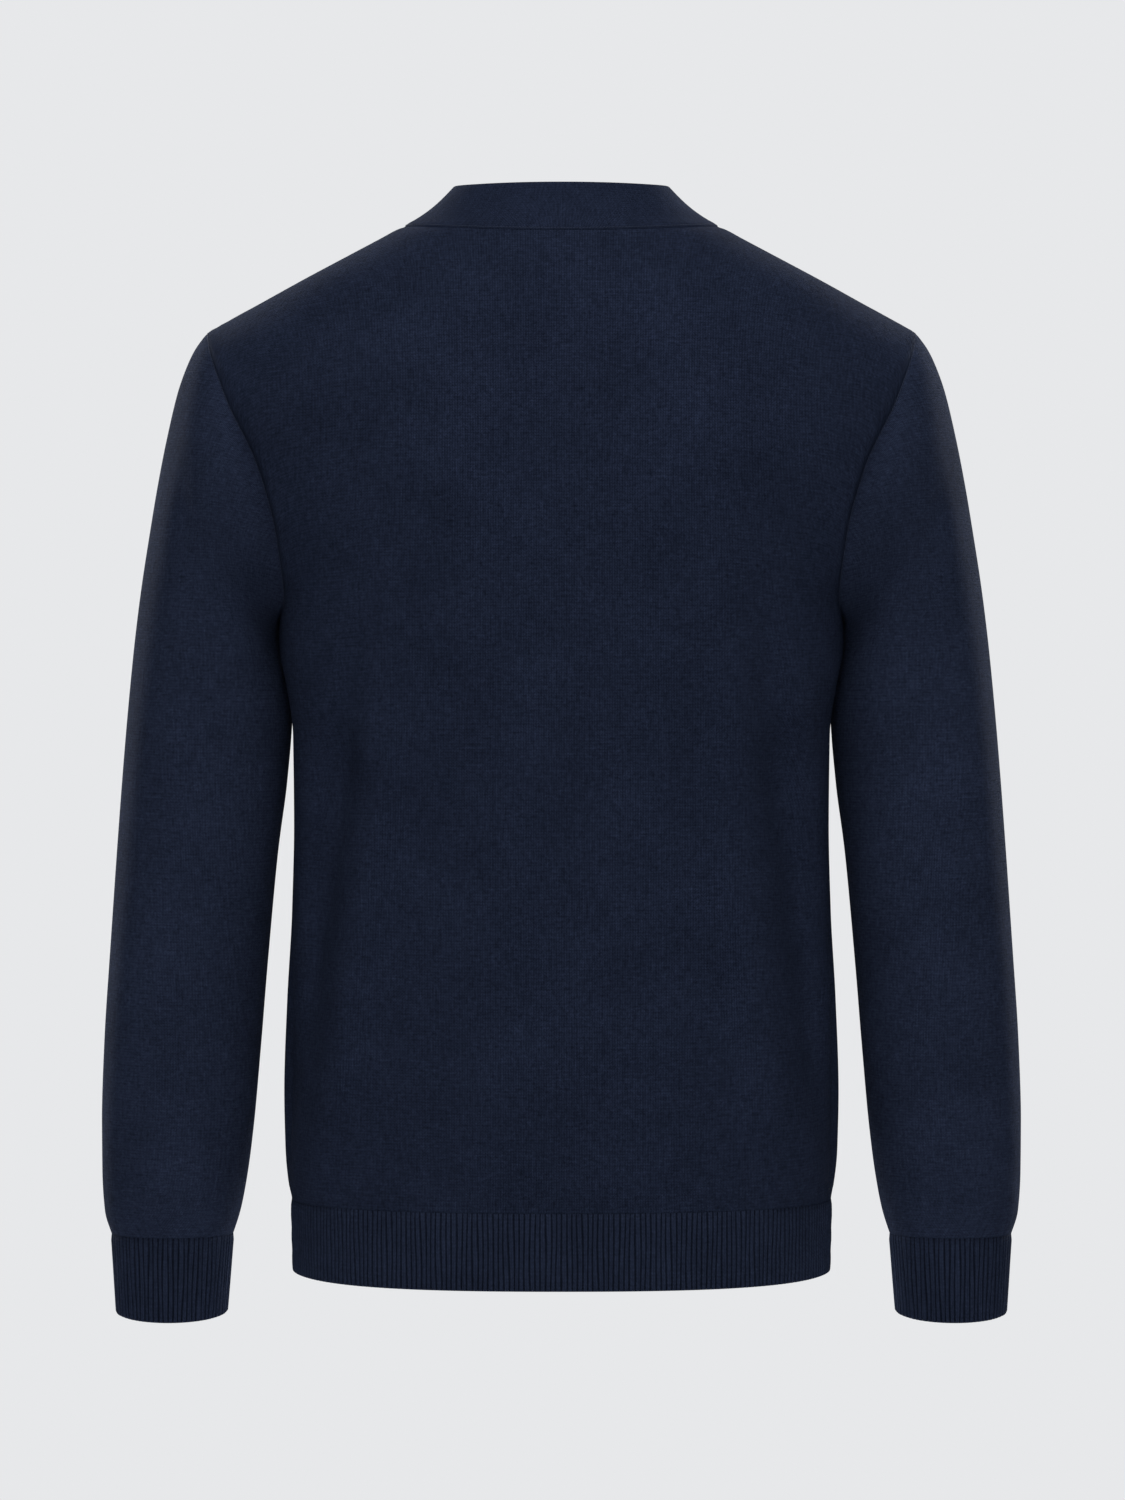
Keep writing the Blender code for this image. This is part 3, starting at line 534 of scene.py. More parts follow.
def crease_height(piece, x, z):
    """How far the smaller creases lift the cloth at these places."""
    height = np.zeros(np.broadcast(x, z).shape)
    for crease in CREASES:
        if crease.piece != piece:
            continue
        run_x, run_z = crease.to_x - crease.from_x, crease.to_z - crease.from_z
        length = math.hypot(run_x, run_z)
        off_x, off_z = x - crease.from_x, z - crease.from_z
        along = (off_x * run_x + off_z * run_z) / length**2
        aside = (off_x * run_z - off_z * run_x) / length
        bow = crease.bow * length * np.sin(math.pi * np.clip(along, 0, 1))
        fade = ease(along / CREASE_START) * ease((1 - along) / CREASE_END)
        height = height + crease.rise * fade * np.exp(-(((aside - bow) / crease.width) ** 2))
    return height


def seam_dip(distance, depth):
    """Cloth sinks into a seam, and stands a little proud over the edge behind it."""
    sunk = depth * np.exp(-((distance / SEAM_SINK_WIDTH) ** 2))
    proud = SEAM_PROUD * depth * np.exp(-(((distance - SEAM_PROUD_AT) / SEAM_PROUD_WIDTH) ** 2))
    return (sunk - proud)[..., None]


def turned(inward, frame_inward, distance):
    """Inward directions that turn to a seam's own direction as they near it."""
    share = (1 - ease(distance / MITRE_REACH))[..., None]
    return unit(inward * (1 - share) + frame_inward * share)


def section_rows(wall, thickness, head, foot):
    """(points, u, v, relief) of every row round a wall's section.

    The rows run up the outside, over the head, down the inside and round the foot.
    head and foot are the directions in which a free edge is rounded. Where there is
    none, the edge is flat, as it is where another piece is sewn on.
    """
    inner = wall.outer + wall.inward * thickness
    turns = np.linspace(0, math.pi, EDGE_TURNS + 1)[1:-1]

    def rounded(end, away, sign):
        if away is None:
            return []
        middle, reach = (wall.outer[end] + inner[end]) / 2, (wall.outer[end] - inner[end]) / 2
        half = np.linalg.norm(reach, axis=-1, keepdims=True)
        return [
            (
                middle + reach * math.cos(t) + away * half * math.sin(t),
                wall.u[end],
                wall.v[end] + sign * thickness / 2 * t,
                max(math.cos(t), 0.0),
            )
            for t in turns
        ]

    v_inner = wall.v
    if foot is not None:
        v_inner = 2 * wall.v[0] - wall.v - thickness * math.pi / 2
    elif head is not None:
        v_inner = 2 * wall.v[-1] - wall.v + thickness * math.pi / 2
    rows = [(*row, 1.0) for row in zip(wall.outer, wall.u, wall.v)]
    rows += rounded(-1, head, 1)
    rows += [(*row, 0.0) for row in zip(inner[::-1], wall.u[::-1], v_inner[::-1])]
    return rows + rounded(0, foot, -1)[::-1]


def end_faces(outer_rows, all_rows, head_rows):
    """Row numbers of the faces that close a panel's wall at one side."""
    last = 2 * outer_rows + head_rows - 1
    faces = [[i, i + 1, last - i - 1, last - i] for i in range(outer_rows - 1)]
    head = list(range(outer_rows - 1, outer_rows + head_rows + 1))
    foot = [*range(last, all_rows), 0]
    return faces + [face for face in (head, foot) if len(face) > 2]


def shell_object(name, wall, thickness, head=None, foot=None, relief=False):
    """A closed shell of cloth, with its knit laid out in metres as a UV map."""
    rows = section_rows(wall, thickness, head, foot)
    count, columns = len(rows), wall.outer.shape[1]
    i, j = np.meshgrid(
        np.arange(count), np.arange(columns if wall.ring else columns - 1), indexing="ij"
    )
    i, j = i.ravel(), j.ravel()
    corner_rows = np.stack([i, i, i + 1, i + 1], 1) % count
    corner_columns = np.stack([j, j + 1, j + 1, j], 1)
    polygons = (corner_rows * columns + corner_columns % columns).tolist()
    u, v = np.array([row[1] for row in rows]), np.array([row[2] for row in rows])
    uvs = np.stack([u[corner_rows, corner_columns], v[corner_rows, corner_columns]], -1)
    uvs = [uvs.reshape(-1, 2)]
    if not wall.ring:
        head_rows = 0 if head is None else EDGE_TURNS - 1
        for column, step in ((0, 1), (columns - 1, -1)):
            for face in end_faces(len(wall.outer), count, head_rows):
                face = face[::step]
                polygons.append([k * columns + column for k in face])
                uvs.append(np.stack([u[face, column], v[face, column]], -1))
    vertices = np.array([row[0] for row in rows]).reshape(-1, 3)
    made = mesh_object(name, vertices, polygons, np.concatenate(uvs))
    if relief:
        add_mark(made, "relief", np.repeat([row[3] for row in rows], columns))
        add_mark(made, "rib", np.concatenate([row[1][:columns] / RIB_PITCH for row in rows]))
        join = wall.v[-1, :columns]
        add_mark(made, "below_join", np.concatenate([join - row[2][:columns] for row in rows]))
        add_mark(made, "outward", np.tile(-wall.inward[0], (count, 1)))
    return made


def add_mark(made, name, values):
    """A number or a direction kept on every point."""
    vector = values.ndim == 2
    mark = made.data.attributes.new(name, "FLOAT_VECTOR" if vector else "FLOAT", "POINT")
    mark.data.foreach_set("vector" if vector else "value", values.astype(np.float32).ravel())


def mesh_object(name, vertices, polygons, uvs):
    """A smooth closed mesh with its faces outward."""
    data = bpy.data.meshes.new(name)
    data.from_pydata(vertices.tolist(), [], polygons)
    data.uv_layers.new(name=UV_NAME).data.foreach_set("uv", uvs.astype(np.float32).ravel())
    if signed_volume(data) < 0:
        data.flip_normals()
    data.shade_smooth()
    return placed(name, data)


def placed(name, data):
    """An object with this data, in the scene."""
    made = bpy.data.objects.new(name, data)
    bpy.context.scene.collection.objects.link(made)
    return made


def signed_volume(data):
    data.calc_loop_triangles()
    corners = np.empty(len(data.loop_triangles) * 3, np.int32)
    data.loop_triangles.foreach_get("vertices", corners)
    places = np.empty(len(data.vertices) * 3)
    data.vertices.foreach_get("co", places)
    triangles = places.reshape(-1, 3)[corners.reshape(-1, 3)]
    return np.linalg.det(triangles).sum() / 6


# ------------------------------------------------------------- walls of each piece
def spaced(low, high, close_low, close_high):
    """Values from low to high a cell apart, and closer beside a seam."""
    steps = np.array(CLOSE_STEPS)
    first = low + steps if close_low else np.array([low])
    last = high - steps[::-1] if close_high else np.array([high])
    count = max(int(round((last[0] - first[-1]) / CELL)), 2)
    return np.concatenate([first, np.linspace(first[-1], last[0], count + 1)[1:-1], last])


def panel_rows():
    """Heights of a panel's rows at its edge, from the hem seam to the neck."""
    turns = np.linspace(math.pi, 0, ARMHOLE_ROWS + 1)
    lower = spaced(HEM_SEAM_Z, UNDERARM[1], True, False)
    shoulder = spaced(SHOULDER_TIP[1], 0.0, False, True)
    return np.concatenate([lower, armhole_point("back", turns)[1:-1, 2], shoulder])


def half_shares():
    """Shares of the way from the middle of a row to its edge."""
    close = 1 - np.array(CLOSE_SHARES[::-1])
    return np.concatenate([np.linspace(0, close[0], HALF_COLUMNS), close[1:]])


def side_frames(panel, edge_z):
    """Inward direction and gap at the panel's left edge, by the seam it lies on."""
    gap_y = np.array([0.0, SEAM_GAP / 2 * (1 if panel == "back" else -1), 0.0])
    above = edge_z >= UNDERARM[1] - SAME_HEIGHT
    at_armhole = above & (edge_z <= SHOULDER_TIP[1] + SAME_HEIGHT)
    at_end = np.abs(edge_z - UNDERARM[1]) < SAME_HEIGHT
    at_end = at_end | (np.abs(edge_z - SHOULDER_TIP[1]) < SAME_HEIGHT)
    seam_inward, over = armhole_frame(panel, armhole_angle(edge_z))
    plain = -torso_normal(panel, np.ones_like(edge_z), edge_z)
    plain = unit(plain * np.array([1.0, 0.0, 1.0]))
    inward = np.where(at_armhole[:, None], seam_inward, plain)
    shift = np.where(at_armhole[:, None], -over * SEAM_GAP / 2, gap_y)
    return inward, shift + np.where(at_end[:, None], gap_y, 0.0)


def armhole_sink(angle):
    """How deep the fold along the armhole is, by angle from the armhole's top."""
    rise = ease((angle - SINK_FROM) / (SINK_IN_FULL - SINK_FROM))
    return ARMHOLE_SINK * rise * ease((SINK_TO - angle) / (SINK_TO - SINK_IN_FULL))


def underarm_rest(station):
    """How far the sleeve's inner line swells towards the body that it hangs by."""
    inner = sleeve_point(station, np.full_like(station, math.pi))
    room = inner[..., 0] - smooth_table(TORSO, "z", "half_width", inner[..., 2])
    return np.maximum(room - UNDERARM_CLEARANCE, 0.0) * ease((inner[..., 2] - REST_TO) / REST_FADE)


def spread_rows(grid, row):
    """Evens out the rows that crowd together at the end of the armhole."""
    rows = np.exp(-(((np.arange(len(grid)) - row) / SPREAD_ROWS) ** 2))
    width = row_lengths(grid, False)
    share = rows[:, None] * ease(np.minimum(width, width[:, -1:] - width) / SPREAD_BESIDE)
    share = share[1:-1, :, None] / 2
    for _ in range(SPREAD_TIMES):
        grid[1:-1] += share * ((grid[2:] + grid[:-2]) / 2 - grid[1:-1])
    return grid


def panel_wall(panel, dip):
    """The wall of a whole panel, from its right side seam to its left one."""
    half = half_shares()
    across = np.concatenate([-half[:0:-1], half])
    edge_z = panel_rows()
    side = np.where(across < 0, -1.0, 1.0)
    grid = torso_point(panel, np.abs(across)[None, :], edge_z[:, None], side[None, :])
    for z in (UNDERARM[1], SHOULDER_TIP[1]):
        grid = spread_rows(grid, np.abs(edge_z - z).argmin())
    towards = -1 if panel == "back" else 1
    normals = grid_normals(grid, False, towards)
    width = row_lengths(grid, False)
    beside = np.minimum(width, width[:, -1:] - width)
    height = column_lengths(grid)
    below, above = height, height[-1:] - height
    clear = ease(beside / CREASE_CLEAR) * ease(below / CREASE_CLEAR) * ease(above / CREASE_CLEAR)
    lift = clear * crease_height(panel, grid[..., 0], grid[..., 2])
    grid = grid + normals * lift[..., None]
    normals = grid_normals(grid, False, towards)
    inward = -normals
    side_inward, side_shift = side_frames(panel, edge_z)
    inward = turned(inward, side_inward[:, None], width[:, -1:] - width)
    inward = turned(inward, (side_inward * OTHER_SIDE)[:, None], width)
    neck_inward, neck_shift = neck_frame(panel, np.abs(across))
    flip = np.stack([side, np.ones_like(side), np.ones_like(side)], -1)
    inward = turned(inward, (neck_inward * flip)[None], above)
    inward = turned(inward, unit(inward[:1] * LEVEL), below)
    at_armhole = (edge_z > UNDERARM[1]) & (edge_z < SHOULDER_TIP[1])
    fold = np.where(at_armhole, armhole_sink(armhole_angle(edge_z)), 0.0)[:, None]
    fold = fold * np.exp(-((beside / SINK_ON_BODY) ** 2))
    beside_dip = np.where(at_armhole, ARMHOLE_DIP, 1.0)[:, None] * dip
    sink = seam_dip(beside, beside_dip) + seam_dip(above, dip) + seam_dip(below, dip * HEM_DIP)
    outer = grid + inward * (np.maximum(sink, -dip) + fold[..., None])
    outer[:, -1] += side_shift
    outer[:, 0] += side_shift * OTHER_SIDE
    outer[-1] += neck_shift * flip * SEAM_GAP / 2
    outer[0] += UP * KNITTED_ON_GAP / 2
    level = row_lengths(grid, False, level=True)
    u = level - level[:, [len(half) - 1]]
    return Wall(outer, inward, u, height, False)


def sleeve_wall(piece, dip):
    """The wall of a sleeve on the garment's left, from the cuff seam to the armhole."""
    steps = np.array(CLOSE_STEPS)
    close = steps / SLEEVE_RADIUS
    even = np.linspace(-math.pi + close[-1], math.pi - close[-1], SLEEVE_COLUMNS)[1:-1]
    angle = np.concatenate([-math.pi + close, even, math.pi - close[:0:-1]])
    close = steps / SLEEVE_LENGTH
    even = np.linspace(1 - close[-1], close[-1], SLEEVE_ROWS)[1:-1]
    station = np.concatenate([1 - close, even, close[::-1]])
    turn, place = np.meshgrid(angle, station)
    grid = sleeve_point(place, turn)
    normals = grid_normals(grid, True, 1)
    across = row_lengths(grid, True)
    middle = np.argmin(np.abs(angle))
    u = across - across[:, [middle]]
    steps_up = np.linalg.norm(np.diff(grid, axis=0), axis=-1)
    height = running_length(steps_up, 0)
    below, above = height, height[-1:] - height
    clear = ease(below / CREASE_CLEAR) * ease(above / CREASE_CLEAR)
    lift = clear * crease_height(piece, u[:, :-1], grid[..., 2])
    from_inner = (math.pi - np.abs(angle)) / UNDERARM_SPREAD
    lift = lift + underarm_rest(station)[:, None] * np.exp(-(from_inner**2))
    grid = grid + normals * lift[..., None]
    inward = -grid_normals(grid, True, 1)
    seam_inward = by_panel(angle, lambda panel, turn: armhole_frame(panel, turn)[0])
    over = by_panel(angle, lambda panel, turn: armhole_frame(panel, turn)[1])
    inward = turned(inward, seam_inward[None], above)
    inward = turned(inward, unit(inward[:1] * LEVEL), below)
    beside = np.minimum(across, across[:, -1:] - across)[:, :-1]
    sink = seam_dip(above, dip * ARMHOLE_DIP) + seam_dip(below, dip * HEM_DIP)
    sink = sink + seam_dip(beside, dip * ARMHOLE_DIP)
    fold = armhole_sink(np.abs(angle)) * np.exp(-((above / SINK_ON_SLEEVE) ** 2))
    outer = grid + inward * (np.maximum(sink, -dip) + fold[..., None])
    outer[-1] += over * SEAM_GAP / 2
    outer[0] += UP * KNITTED_ON_GAP / 2
    v = np.concatenate([height, height[:, :1]], 1)
    return Wall(outer, inward, u, v, True)


def neckband_wall(dip):
    """The wall of the neckband, from its seam to its folded edge, all the way round."""
    quarter = np.linspace(0, 1, BAND_COLUMNS + 1)
    ups = np.concatenate([np.array(CLOSE_STEPS) / BAND_WIDTH, np.linspace(0, 1, BAND_ROWS)[2:]])

    def left_half(of_panel):
        return np.concatenate([of_panel("back", quarter), of_panel("front", quarter[-2::-1])])

    def all_round(half):
        return np.concatenate([half, half[-2:0:-1] * OTHER_SIDE])

    seam_inward = left_half(lambda panel, across: neck_frame(panel, across)[0])
    away = left_half(lambda panel, across: neck_frame(panel, across)[1])
    normal = left_half(band_normal)
    outer, inward = [], []
    for up in ups:
        hollow = normal * BAND_HOLLOW * math.sin(math.pi * up)
        turn = ease(up * BAND_TURN)
        point = left_half(lambda panel, across, up=up: band_point(panel, across, up))
        outer.append(all_round(point - away * SEAM_GAP / 2 - hollow))
        inward.append(all_round(unit(seam_inward * (1 - turn) - normal * turn)))
    outer, inward = np.array(outer), np.array(inward)
    height = running_length(np.linalg.norm(np.diff(outer, axis=0), axis=-1), 0)
    u = np.repeat(row_lengths(outer, True)[:1], len(outer), 0)
    outer = outer + inward * seam_dip(height, dip)
    return Wall(outer, inward, u, np.concatenate([height, height[:, :1]], 1), True)


def even_columns(curve, count):
    """count + 1 points at even distances along a finely divided curve."""
    lengths = running_length(np.linalg.norm(np.diff(curve, axis=0), axis=-1), 0)
    wanted = np.linspace(0.0, lengths[-1], count + 1)
    return np.stack([np.interp(wanted, lengths, curve[:, k]) for k in range(3)], -1)


def rib_wall(foot, head, ring, sunk):
    """The wall of a rib between two rows of even columns, its grooves sunk a little."""
    share = np.linspace(0, 1, RIB_ROWS + 1)[:, None, None]
    grid = foot * (1 - share) + head * share
    along = np.roll(grid, -1, 1) - np.roll(grid, 1, 1) if ring else np.gradient(grid, axis=1)
    inward = unit(np.cross(unit(along * LEVEL), UP))
    middle = grid.mean(1, keepdims=True) * LEVEL
    inward = np.where(dot(inward, middle - grid * LEVEL) > 0, inward, -inward)
    if not ring:
        edge = np.sign(grid[:, [0, -1], 0])
        inward[:, [0, -1]] = points(-edge, 0.0, 0.0)
    columns = grid.shape[1] + (1 if ring else 0)
    ribs = np.arange(columns) / COLUMNS_A_RIB
    height = running_length(np.linalg.norm(np.diff(grid, axis=0), axis=-1), 0)
    v = np.concatenate([height, height[:, :1]], 1) if ring else height
    turn = 2 * math.pi * ribs / ribs[-1]
    stray = sum(np.sin(turn * round_it + v * up) for round_it, up in RIB_STRAYS)
    u = (ribs + RIB_WANDER * stray / 2) * RIB_PITCH
    settled = ease((height[-1:] - height) / RIB_SETTLE)[..., None]
    return Wall(grid + inward * sunk * settled, inward, u, v, ring)


def hem_rib_wall(panel, sunk, thickness):
    """Half of the hem's wall, from the right side seam to the left one."""
    turns = np.linspace(-1, 1, FINE_STEPS + 1)
    side = np.where(turns < 0, -1.0, 1.0)
    gap = np.array([0.0, KNITTED_ON_GAP / 2 * (1 if panel == "back" else -1), 0.0])
    rows = []
    for z in (HEM_Z, HEM_SEAM_Z - KNITTED_ON_GAP / 2):
        columns = even_columns(torso_point(panel, np.abs(turns), z, side), HEM_RIBS * COLUMNS_A_RIB)
        columns[[0, -1]] += gap
        rows.append(columns)
    fall = HEM_FALL * ease(rows[0][:, 1] / rows[0][:, 1].max()) if panel == "back" else 0.0
    rows[0] = rows[0] + points(0.0, 0.0, thickness / 2 - fall)
    return rib_wall(rows[0], rows[1], False, sunk)


def cuff_wall(sunk, thickness):
    """The wall of the left cuff, its edge falling a little at the back."""
    turns = np.linspace(-math.pi, math.pi, FINE_STEPS + 1)
    rows = []
    ends = ((CUFF_END, CUFF_LEAN, thickness / 2), (SLEEVE[-1], 0.0, -KNITTED_ON_GAP / 2))
    for ring, lean, rise in ends:
        columns = even_columns(ring_point(ring, turns), CUFF_RIBS * COLUMNS_A_RIB)[:-1]
        fall = lean * (columns[:, 1:2] - ring.mid_y)
        rows.append(columns + (rise - fall) * UP)
    return rib_wall(rows[0], rows[1], True, sunk)


def mirrored(wall):
    """The same wall on the garment's right."""
    return Wall(wall.outer * OTHER_SIDE, wall.inward * OTHER_SIDE, wall.u, wall.v, wall.ring)


# -------------------------------------------------------------------- node trees
def node(tree, kind, values=(), **settings):
    """A node with these settings, and these sockets or numbers at its inputs.

    The values are in the order of the inputs, or a dictionary by their names.
    """
    made = tree.nodes.new(kind)
    for name, setting in settings.items():
        setattr(made, name, setting)
    for key, value in values.items() if isinstance(values, dict) else enumerate(values):
        if isinstance(value, bpy.types.NodeSocket):
            tree.links.new(value, made.inputs[key])
        else:
            made.inputs[key].default_value = value
    return made


def math_node(tree, operation, *values):
    return node(tree, "ShaderNodeMath", values, operation=operation).outputs[0]


def scaled(tree, vector, scale):
    values = {0: vector, "Scale": scale}
    return node(tree, "ShaderNodeVectorMath", values, operation="SCALE").outputs[0]


def split(tree, vector):
    """The sockets "X", "Y" and "Z" of a vector."""
    return node(tree, "ShaderNodeSeparateXYZ", [vector]).outputs


def named_attribute(tree, name, kind="FLOAT"):
    made = node(tree, "GeometryNodeInputNamedAttribute", {"Name": name}, data_type=kind)
    return made.outputs["Attribute"]


def node_group(name, kind, inputs, outputs):
    """A tree with these inputs and outputs, and the sockets that they have inside it."""
    tree = bpy.data.node_groups.new(name, kind)
    for label, socket_kind, *default in inputs:
        socket = tree.interface.new_socket(
            label, in_out="INPUT", socket_type="NodeSocket" + socket_kind
        )
        if default:
            socket.default_value = default[0]
    for label, socket_kind in outputs:
        tree.interface.new_socket(
            label, in_out="OUTPUT", socket_type="NodeSocket" + socket_kind
        )
    given, result = tree.nodes.new("NodeGroupInput"), tree.nodes.new("NodeGroupOutput")
    return tree, given.outputs, result.inputs


def geometry_tree(name, *inputs):
    """A tree that takes a mesh and a yarn and gives a mesh."""
    mesh = ("Geometry", "Geometry")
    inputs = [mesh, *inputs, ("Yarn", "Material")]
    return node_group(name, "GeometryNodeTree", inputs, [mesh])


def finish_tree(tree, geometry, given, result):
    """Every tree ends the same way: real geometry, with its yarn."""
    real = node(tree, "GeometryNodeRealizeInstances", [geometry]).outputs[0]
    clad = node(tree, "GeometryNodeSetMaterial", {"Geometry": real, "Material": given["Yarn"]})
    tree.links.new(clad.outputs[0], result[0])
    return tree


def rib_tree():
    """Raises a rounded rib on each unit of the mark "rib"."""
    tree, given, result = geometry_tree(
        "Raised ribs",
        ("Rib Rise", "Float", 0.0011),
        ("Roundness", "Float", 2.2),
        ("Course", "Float", RIB_COURSE),
        ("Stitch Swell", "Float", 0.10),
        ("Start Length", "Float", 0.0012),
    )
    maths = partial(math_node, tree)
    place = maths("FRACT", named_attribute(tree, "rib"))
    from_top = maths("ABSOLUTE", maths("MULTIPLY_ADD", place, 2.0, -1.0))
    fallen = maths("POWER", from_top, given["Roundness"])
    crown = maths("POWER", maths("SUBTRACT", 1.0, fallen), RIB_FULLNESS)
    height = split(tree, node(tree, "GeometryNodeInputPosition").outputs[0])["Z"]
    courses = maths("DIVIDE", height, given["Course"])
    wave = maths("SINE", maths("MULTIPLY", courses, 2 * math.pi))
    swell = maths("MULTIPLY_ADD", wave, given["Stitch Swell"], 1.0)
    start = maths("DIVIDE", named_attribute(tree, "below_join"), given["Start Length"])
    short = maths("SUBTRACT", 1.0, maths("MINIMUM", start, 1.0))
    rounding = maths("SQRT", maths("MULTIPLY_ADD", maths("MULTIPLY", short, -1.0), short, 1.0))
    lift = maths("MULTIPLY", crown, swell)
    for share in (given["Rib Rise"], named_attribute(tree, "relief"), rounding):
        lift = maths("MULTIPLY", lift, share)
    offset = scaled(tree, named_attribute(tree, "outward", "FLOAT_VECTOR"), lift)
    values = {"Geometry": given["Geometry"], "Offset": offset}
    moved = node(tree, "GeometryNodeSetPosition", values)
    return finish_tree(tree, moved.outputs[0], given, result)


def linking_tree():
    """Lays one slanting stitch after another along a seam's line."""
    tree, given, result = geometry_tree(
        "Linked seam",
        ("Pitch", "Float", 0.0021),
        ("Stitch Length", "Float", 0.0027),
        ("Stitch Width", "Float", 0.0009),
        ("Slant", "Float", math.radians(20)),
        ("Depth", "Float", 0.0005),
    )
    line = node(tree, "GeometryNodeMeshToCurve", [given["Geometry"]]).outputs[0]
    values = {"Curve": line, "Length": given["Pitch"]}
    spots = node(tree, "GeometryNodeResampleCurve", values, mode="LENGTH")
    outward = named_attribute(tree, "outward", "FLOAT_VECTOR")
    values = [outward, node(tree, "GeometryNodeInputTangent").outputs[0]]
    axes = node(tree, "FunctionNodeAxesToRotation", values, primary_axis="Z", secondary_axis="X")
    offset = scaled(tree, outward, math_node(tree, "MULTIPLY", given["Depth"], -1.0))
    values = {"Geometry": spots.outputs[0], "Offset": offset}
    sunk = node(tree, "GeometryNodeSetPosition", values)
    bead = node(tree, "GeometryNodeMeshUVSphere", {"Segments": 6, "Rings": 4, "Radius": 0.5})
    lengths = [given["Stitch Length"], given["Stitch Width"], given["Stitch Width"]]
    size = node(tree, "ShaderNodeCombineXYZ", lengths).outputs[0]
    turn = node(tree, "ShaderNodeCombineXYZ", {"Z": given["Slant"]}).outputs[0]
    stitch = bead.outputs["Mesh"]
    for change in ({"Scale": size}, {"Rotation": turn}):
        stitch = node(tree, "GeometryNodeTransform", {"Geometry": stitch, **change}).outputs[0]
    values = {"Points": sunk.outputs[0], "Instance": stitch, "Rotation": axes.outputs[0]}
    laid = node(tree, "GeometryNodeInstanceOnPoints", values)
    return finish_tree(tree, laid.outputs[0], given, result)


def grown(base, tree, values, name):
    """The plain mesh that a tree makes from a base object, in the base's place."""
    modifier = base.modifiers.new(tree.name, "NODES")
    modifier.node_group = tree
    for item in tree.interface.items_tree:
        if item.in_out == "INPUT" and item.name in values:
            modifier[item.identifier] = values[item.name]
    graph = bpy.context.evaluated_depsgraph_get()
    data = bpy.data.meshes.new_from_object(base.evaluated_get(graph))
    base.modifiers.remove(modifier)
    bpy.data.objects.remove(base)
    data.name = name
    for mark in ("relief", "rib", "below_join", "outward"):
        if mark in data.attributes:
            data.attributes.remove(data.attributes[mark])
    data.shade_smooth()
    return placed(name, data)


# ------------------------------------------------------------------ seams' lines
SeamLine = namedtuple("SeamLine", "points outward closed")


def beside_seam(wall, row):
    """The line along a row of a ring of cloth, such as the one next to a seam."""
    return SeamLine(wall.outer[row], -wall.inward[row], True)


def closing_seam(wall):
    """The line up a ring of cloth where its two edges meet."""
    return SeamLine(wall.outer[:, 0], -wall.inward[:, 0], False)


def between(one, other, rows):
    """The line along the left edges of two pieces that are sewn edge to edge."""
    middle = (one.outer[rows, -1] + other.outer[rows, -1]) / 2
    return SeamLine(middle, -unit(one.inward[rows, -1] + other.inward[rows, -1]), False)


def seam_object(name, lines, flip):
    """Lines of edges that a tree lays stitches along."""
    side = OTHER_SIDE if flip else 1.0
    vertices, edges, outward = [], [], []
    for line in lines:
        first, count = sum(len(v) for v in vertices), len(line.points)
        vertices.append(line.points * side)
        outward.append(line.outward * side)
        edges += [(first + i, first + i + 1) for i in range(count - 1)]
        if line.closed:
            edges.append((first + count - 1, first))
    data = bpy.data.meshes.new(name)
    data.from_pydata(np.concatenate(vertices).tolist(), edges, [])
    made = placed(name, data)
    add_mark(made, "outward", np.concatenate(outward))
    return made


# -------------------------------------------------------------------- materials
# gap_shade and groove_shade are painted shade: how much darker the colour is made between the
# stitches' legs and in the ribs' grooves.
KnitLook = namedtuple("KnitLook", "wale course bump cloud courses wales fleck gap_shade groove_shade")
# Repeats a metre across and up the knit.
STREAK_SCALES = {
    "Course Streak": (130.0, 540.0, 1.0),
    "Wale Streak": (470.0, 90.0, 1.0),
    "Fleck": (520.0, 520.0, 1.0),
}
LEG_FALL = 1.3  # courses by which a stitch's legs fall, for each wale aside
LEG_SWELL = 0.45  # share of a leg's height that its swell makes
LINKING_FLECK, LINKING_BUMP = 0.4, 0.4
FLOOR_GRAIN, FLOOR_GRAIN_SCALE = 0.015, 40.0
KNIT_GLOSS = {
    "Roughness": 0.95,
    "Specular IOR Level": 0.02,
    "Specular Tint": (0.45, 0.62, 1.0, 1.0),
    "Sheen Weight": 0.006,
    "Sheen Roughness": 0.3,
    "Sheen Tint": (0.55, 0.68, 1.0, 1.0),
}
LINKING_GLOSS = {"Roughness": 0.85, "Specular IOR Level": 0.10}
FLOOR_GLOSS = {"Roughness": 0.9, "Specular IOR Level": 0.1}


def new_material(name, gloss):
    """(material, its tree, its shader), with these inputs of the shader set."""
    material = bpy.data.materials.new(name)
    material.use_nodes = True
    shader = material.node_tree.nodes["Principled BSDF"]
    for label, value in gloss.items():
        shader.inputs[label].default_value = value
    return material, material.node_tree, shader


def paint(tree, shader, colour, factor):
    tree.links.new(scaled(tree, colour, factor), shader.inputs["Base Color"])


def raise_bump(tree, shader, height, strength, distance):
    values = {"Height": height, "Strength": strength, "Distance": distance}
    tree.links.new(node(tree, "ShaderNodeBump", values).outputs[0], shader.inputs["Normal"])


def noise(tree, vector, scale, detail, roughness=0.5):
    values = {"Vector": vector, "Scale": scale, "Detail": detail, "Roughness": roughness}
    return node(tree, "ShaderNodeTexNoise", values).outputs["Fac"]


def stretched(tree, vector, scale):
    return node(tree, "ShaderNodeMapping", {"Vector": vector, "Scale": scale}).outputs[0]


def own_place(tree):
    """Where a point lies on its own object, in metres."""
    return node(tree, "ShaderNodeTexCoord").outputs["Object"]


